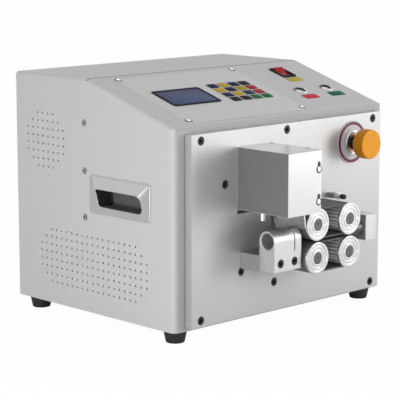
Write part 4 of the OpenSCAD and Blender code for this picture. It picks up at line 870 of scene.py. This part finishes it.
# ---------------------------------------------------------------- belt feeder
CORE_BACK, CORE_FRONT = -55.2, -4.0
FACE_RINGS = [
    (6.0, CORE_FRONT), (FLANGE_R - 0.6, CORE_FRONT), (FLANGE_R, -3.4), (FLANGE_R, -0.7),
    (FLANGE_R - 0.7, 0.0), (17.4, 0.0), (17.1, -0.9), (16.3, -0.9), (16.0, -0.35), (12.6, -0.35),
    (12.3, -1.2), (11.5, -1.2), (11.2, -0.1), (8.4, 0.0), (7.9, -0.5), (7.9, -2.6), (6.0, -2.6),
]
flange = turned(FACE_RINGS, 0.18, 96)
shaft_end = turned([(7.7, -3.0), (7.7, -0.75), (7.2, -0.35), (1.6, -0.4), (0.9, -1.3), (0.2, -1.5)], 0.2, 48)
rear_flange = turned([(6.0, -58.2), (FLANGE_R, -58.2), (FLANGE_R, CORE_BACK), (6.0, CORE_BACK)], 0.4, 96)


def toothed_core():
    """Belt wheel between its flanges: the reach falls from the tips to the roots twenty-four times
    round, along a smoothed square wave."""
    count = TEETH * 10
    a = np.linspace(0, 2 * math.pi, count, endpoint=False)
    wave = np.clip(0.5 + 1.4 * np.cos(TEETH * a), 0, 1)
    wave = wave * wave * (3 - 2 * wave)
    reach = TIP_R - 1.7 * (1 - wave)
    shape = lofted([np.stack([reach * np.cos(a), reach * np.sin(a), np.full(count, z)], -1)
                    for z in (CORE_BACK, CORE_FRONT)])
    sides, ends = shape.faces[0][0], shape.faces[1:]
    # tips take the bright metal, roots and ends its dark copy: painted shade
    tip = 0.5 * (wave + np.roll(wave, -1)) > 0.5
    shape.faces = [(sides[tip], 1), (sides[~tip], 3)] + [(f, 3) for f, _ in ends]
    return shape


core = toothed_core()
WHEELS = [  # name, body, x, z, and the shaft's inner end
    ("lower_left", "pulley_ll", PULLEY_X[0], LOWER_Z, -98),
    ("lower_right", "pulley_lr", PULLEY_X[1], LOWER_Z, -81),
    ("upper_left", "pulley_ul", PULLEY_X[0], UPPER_Z, -93),
    ("upper_right", "pulley_ur", PULLEY_X[1], UPPER_Z, -112),
]
for tag, body, x, z, end in WHEELS:
    shaft = turned([(2.0, end), (4.6, end), (5.0, end + 0.5), (5.0, -58.0), (2.0, -58.0)], 0.1, 40)
    piece(tag + "_wheel", joined(flange, core, rear_flange, shaft_end.finished(2), shaft.finished(2))
          .placed(on_front(x, z, PULLEY_FRONT)), [turned_disc, core_metal, hub_metal, core_shadow],
          body=body, stands_for=[tag + "_pulley"])


def ribbed_belt():
    """Toothed belt: the path is a stadium of the belt's inner radius, walked at even steps; the
    inner side stands in by a tooth on its straight runs, and the outer side carries low ribs of
    the same pitch all round. Its cross-section is a rectangle 50 mm wide with two cut corners."""
    teeth, steps, width, corner = 49, 10, 50.0, 0.35
    run = PULLEY_X[1] - PULLEY_X[0]
    arc = math.pi * BELT_IN
    length = 2 * (run + arc)
    s = np.linspace(0, length, teeth * steps, endpoint=False)
    on_top = s < run
    right = (s >= run) & (s < run + arc)
    low = (s >= run + arc) & (s < 2 * run + arc)
    angle = np.where(right, math.pi / 2 - (s - run) / BELT_IN, -math.pi / 2 - (s - 2 * run - arc) / BELT_IN)
    middle = np.select([on_top, right, low], [s, run, run - (s - run - arc)], 0.0)
    out_x = np.where(on_top | low, 0.0, np.cos(angle))
    out_z = np.select([on_top, low], [1.0, -1.0], np.sin(angle))
    tooth = np.clip(0.5 + 1.2 * np.cos(2 * math.pi * s / (length / teeth)), 0, 1)
    upper_end, lower_end = np.minimum(s, run - s), np.minimum(s - run - arc, 2 * run + arc - s)
    from_end = np.select([on_top, low], [upper_end, lower_end], 0.0)
    inner = BELT_IN - 1.2 * tooth * np.clip((from_end - 6) / 1.5, 0, 1)
    outer = BELT_OUT - 0.55 * (1 - tooth)
    row = lambda reach, y: np.stack([middle + out_x * reach, np.full_like(s, y), out_z * reach], -1)
    return ring(np.stack([row(inner, 0.0), row(inner, width), row(outer - corner, width),
                          row(outer, width - corner), row(outer, corner), row(outer - corner, 0.0)], 1))


belt = ribbed_belt()
for tag, z, body in (("lower", LOWER_Z, "case"), ("upper", UPPER_Z, "lift")):
    piece(tag + "_ribbed_belt", belt.moved(PULLEY_X[0], -71.4, z), [rubber_belt], body=body,
          stands_for=[tag + "_belt"], crisp=40)

# ---------------------------------------------------------------- post, spring and guard coat
washer = turned([(2.0, 0.0), (5.0, 0.0), (5.0, 1.6), (2.0, 1.6)], 0.2, 48)
piece("accessory_screw_post", joined(
    slab(8, 7, 0.6, 0.0, 11.0, 0.5, 4).finished(2),
    turned([(1.0, 10.5), (2.5, 10.5), (2.5, 21.5), (1.0, 21.5)], 0.1, 40),
    washer.moved(0, 0, 14.0).finished(3), washer.moved(0, 0, 17.4).finished(3),
    turned([(1.0, 21.0), (3.5, 21.0), (3.5, 27.4), (2.9, 28.0), (1.4, 28.0), (1.3, 26.0)], 0.3, 48).finished(1),
).placed(on_front(77, 147.5)), [chrome, black_oxide, spacer_metal, button_cap],
    stands_for=["accessory_post"])


def pressure_coil():
    """Closed wire helix: the wire's centre is (r cos t, r sin t, rise t) over six turns, and flatter
    over the first and last half turn; its cross-section is a circle in the radial plane."""
    turns, r, wire_r, length = 6, 6.0, 0.85, 36.0
    t = np.linspace(0, 2 * math.pi * turns, 28 * turns + 1)
    rise = np.interp(t / t[-1], [0, 0.083, 0.917, 1], [0.0, 0.05, 0.95, 1.0])
    z = wire_r + (length - 2 * wire_r) * rise
    b = np.linspace(0, 2 * math.pi, 8, endpoint=False)[None, :]
    reach = r + wire_r * np.cos(b)
    loops = np.stack([reach * np.cos(t)[:, None], reach * np.sin(t)[:, None],
                      z[:, None] + wire_r * np.sin(b)], -1)
    return lofted(loops[::-1])


coil = piece("pressure_coil", pressure_coil().placed(facing_up(16, 12, 178.5)), [ground_rod],
             stands_for=["pressure_spring"])
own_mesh(coil)

# dark sheet laid on the guard's left face: painted shade
piece("guard_face_shade_sheet", slab(87.6, 79.8, 0.5, 0.0, 0.2, 0.1, 3).placed(on_left(-56.25, 189.65, GUARD_LEFT)),
      [guard_left_shade])


# ---------------------------------------------------------------- studio, in metres
def studio_floor(reach=24.0, low=-0.0002):
    """Pale floor that reads as white to the camera and keeps the machine's shadow."""
    mesh = bpy.data.meshes.new("studio_floor")
    mesh.from_pydata([(-reach, -reach, low), (reach, -reach, low), (reach, reach, low), (-reach, reach, low)],
                     [], [(0, 1, 2, 3)])
    floor = bpy.data.objects.new("studio_floor", mesh)
    bpy.context.scene.collection.objects.link(floor)
    m = bpy.data.materials.new("floor_white")
    m.use_nodes = True
    t = m.node_tree
    shader = t.nodes["Principled BSDF"]
    shader.inputs["Base Color"].default_value = (0.86, 0.86, 0.86, 1)
    shader.inputs["Roughness"].default_value = 0.9
    glow = t.nodes.new("ShaderNodeEmission")
    glow.inputs["Strength"].default_value = 1.0
    path = t.nodes.new("ShaderNodeLightPath")
    mix = t.nodes.new("ShaderNodeMixShader")
    wire(t, number(t, "MULTIPLY", path.outputs["Is Camera Ray"], 0.975), mix.inputs[0])
    wire(t, shader.outputs[0], mix.inputs[1])
    wire(t, glow.outputs[0], mix.inputs[2])
    wire(t, mix.outputs[0], t.nodes["Material Output"].inputs["Surface"])
    mesh.materials.append(m)


def studio_world():
    """Even grey light; camera, mirror and glass rays see the white background."""
    w = bpy.data.worlds.new("studio")
    w.use_nodes = True
    t = w.node_tree
    back = t.nodes["Background"]
    back.inputs["Color"].default_value = (1, 1, 1, 1)
    path = t.nodes.new("ShaderNodeLightPath")
    seen = number(t, "MAXIMUM", path.outputs["Is Camera Ray"], path.outputs["Is Transmission Ray"])
    part = number(t, "MAXIMUM", seen, number(t, "MULTIPLY", path.outputs["Is Glossy Ray"], 0.78))
    wire(t, number(t, "MAXIMUM", part, 0.55), back.inputs["Strength"])
    bpy.context.scene.world = w


def aimed(name, data, place, direction):
    """Lamp or camera at a place, looking along a direction."""
    o = bpy.data.objects.new(name, data)
    bpy.context.scene.collection.objects.link(o)
    o.location = place
    o.rotation_euler = Vector(direction).to_track_quat("-Z", "Y").to_euler()
    return o


studio_floor()
studio_world()
MIDDLE = (0, 0, 0.15)
LAMPS = [  # name, place, aim, width and height, watts
    ("key_right", (1.5, -1.7, 0.45), MIDDLE, (0.7, 0.7), 10.6),
    ("low_right", (0.7, -1.1, 0.03), (0.0, -0.1, 0.08), (0.4, 0.4), 0.25),
    ("near_right", (0.9, -1.0, 0.6), MIDDLE, (0.4, 0.4), 1.4),
    ("left_low", (-1.1, -0.35, 0.10), MIDDLE, (0.4, 0.4), 4.4),
    ("left_corner", (-0.80, -0.72, 0.03), (-0.2, -0.15, 0.05), (0.3, 0.3), 0.8),
    ("front_softbox", (1.3, -2.3, 1.0), MIDDLE, (2.0, 1.4), 4.4),
    ("rear_softbox", (0.3, 2.3, 0.9), MIDDLE, (2.0, 1.4), 5.0),
    ("top_softbox", (0.0, 0.3, 2.4), MIDDLE, (2.0, 2.0), 3.4),
]
for name, place, aim, size, watts in LAMPS:
    light = bpy.data.lights.new(name, "AREA")
    light.shape = "RECTANGLE"
    light.size, light.size_y = size
    light.energy = watts
    aimed(name, light, place, Vector(aim) - Vector(place))

lens = bpy.data.cameras.new("view")
lens.sensor_width = 36.0
lens.lens = 149.76
yaw, pitch = math.radians(44.08575), math.radians(-9.91705)
bpy.context.scene.camera = aimed(
    "view", lens, (-1.59408, -1.59241, 0.54521),
    (math.sin(yaw) * math.cos(pitch), math.cos(yaw) * math.cos(pitch), math.sin(pitch)))
bpy.context.scene.view_settings.view_transform = "Standard"
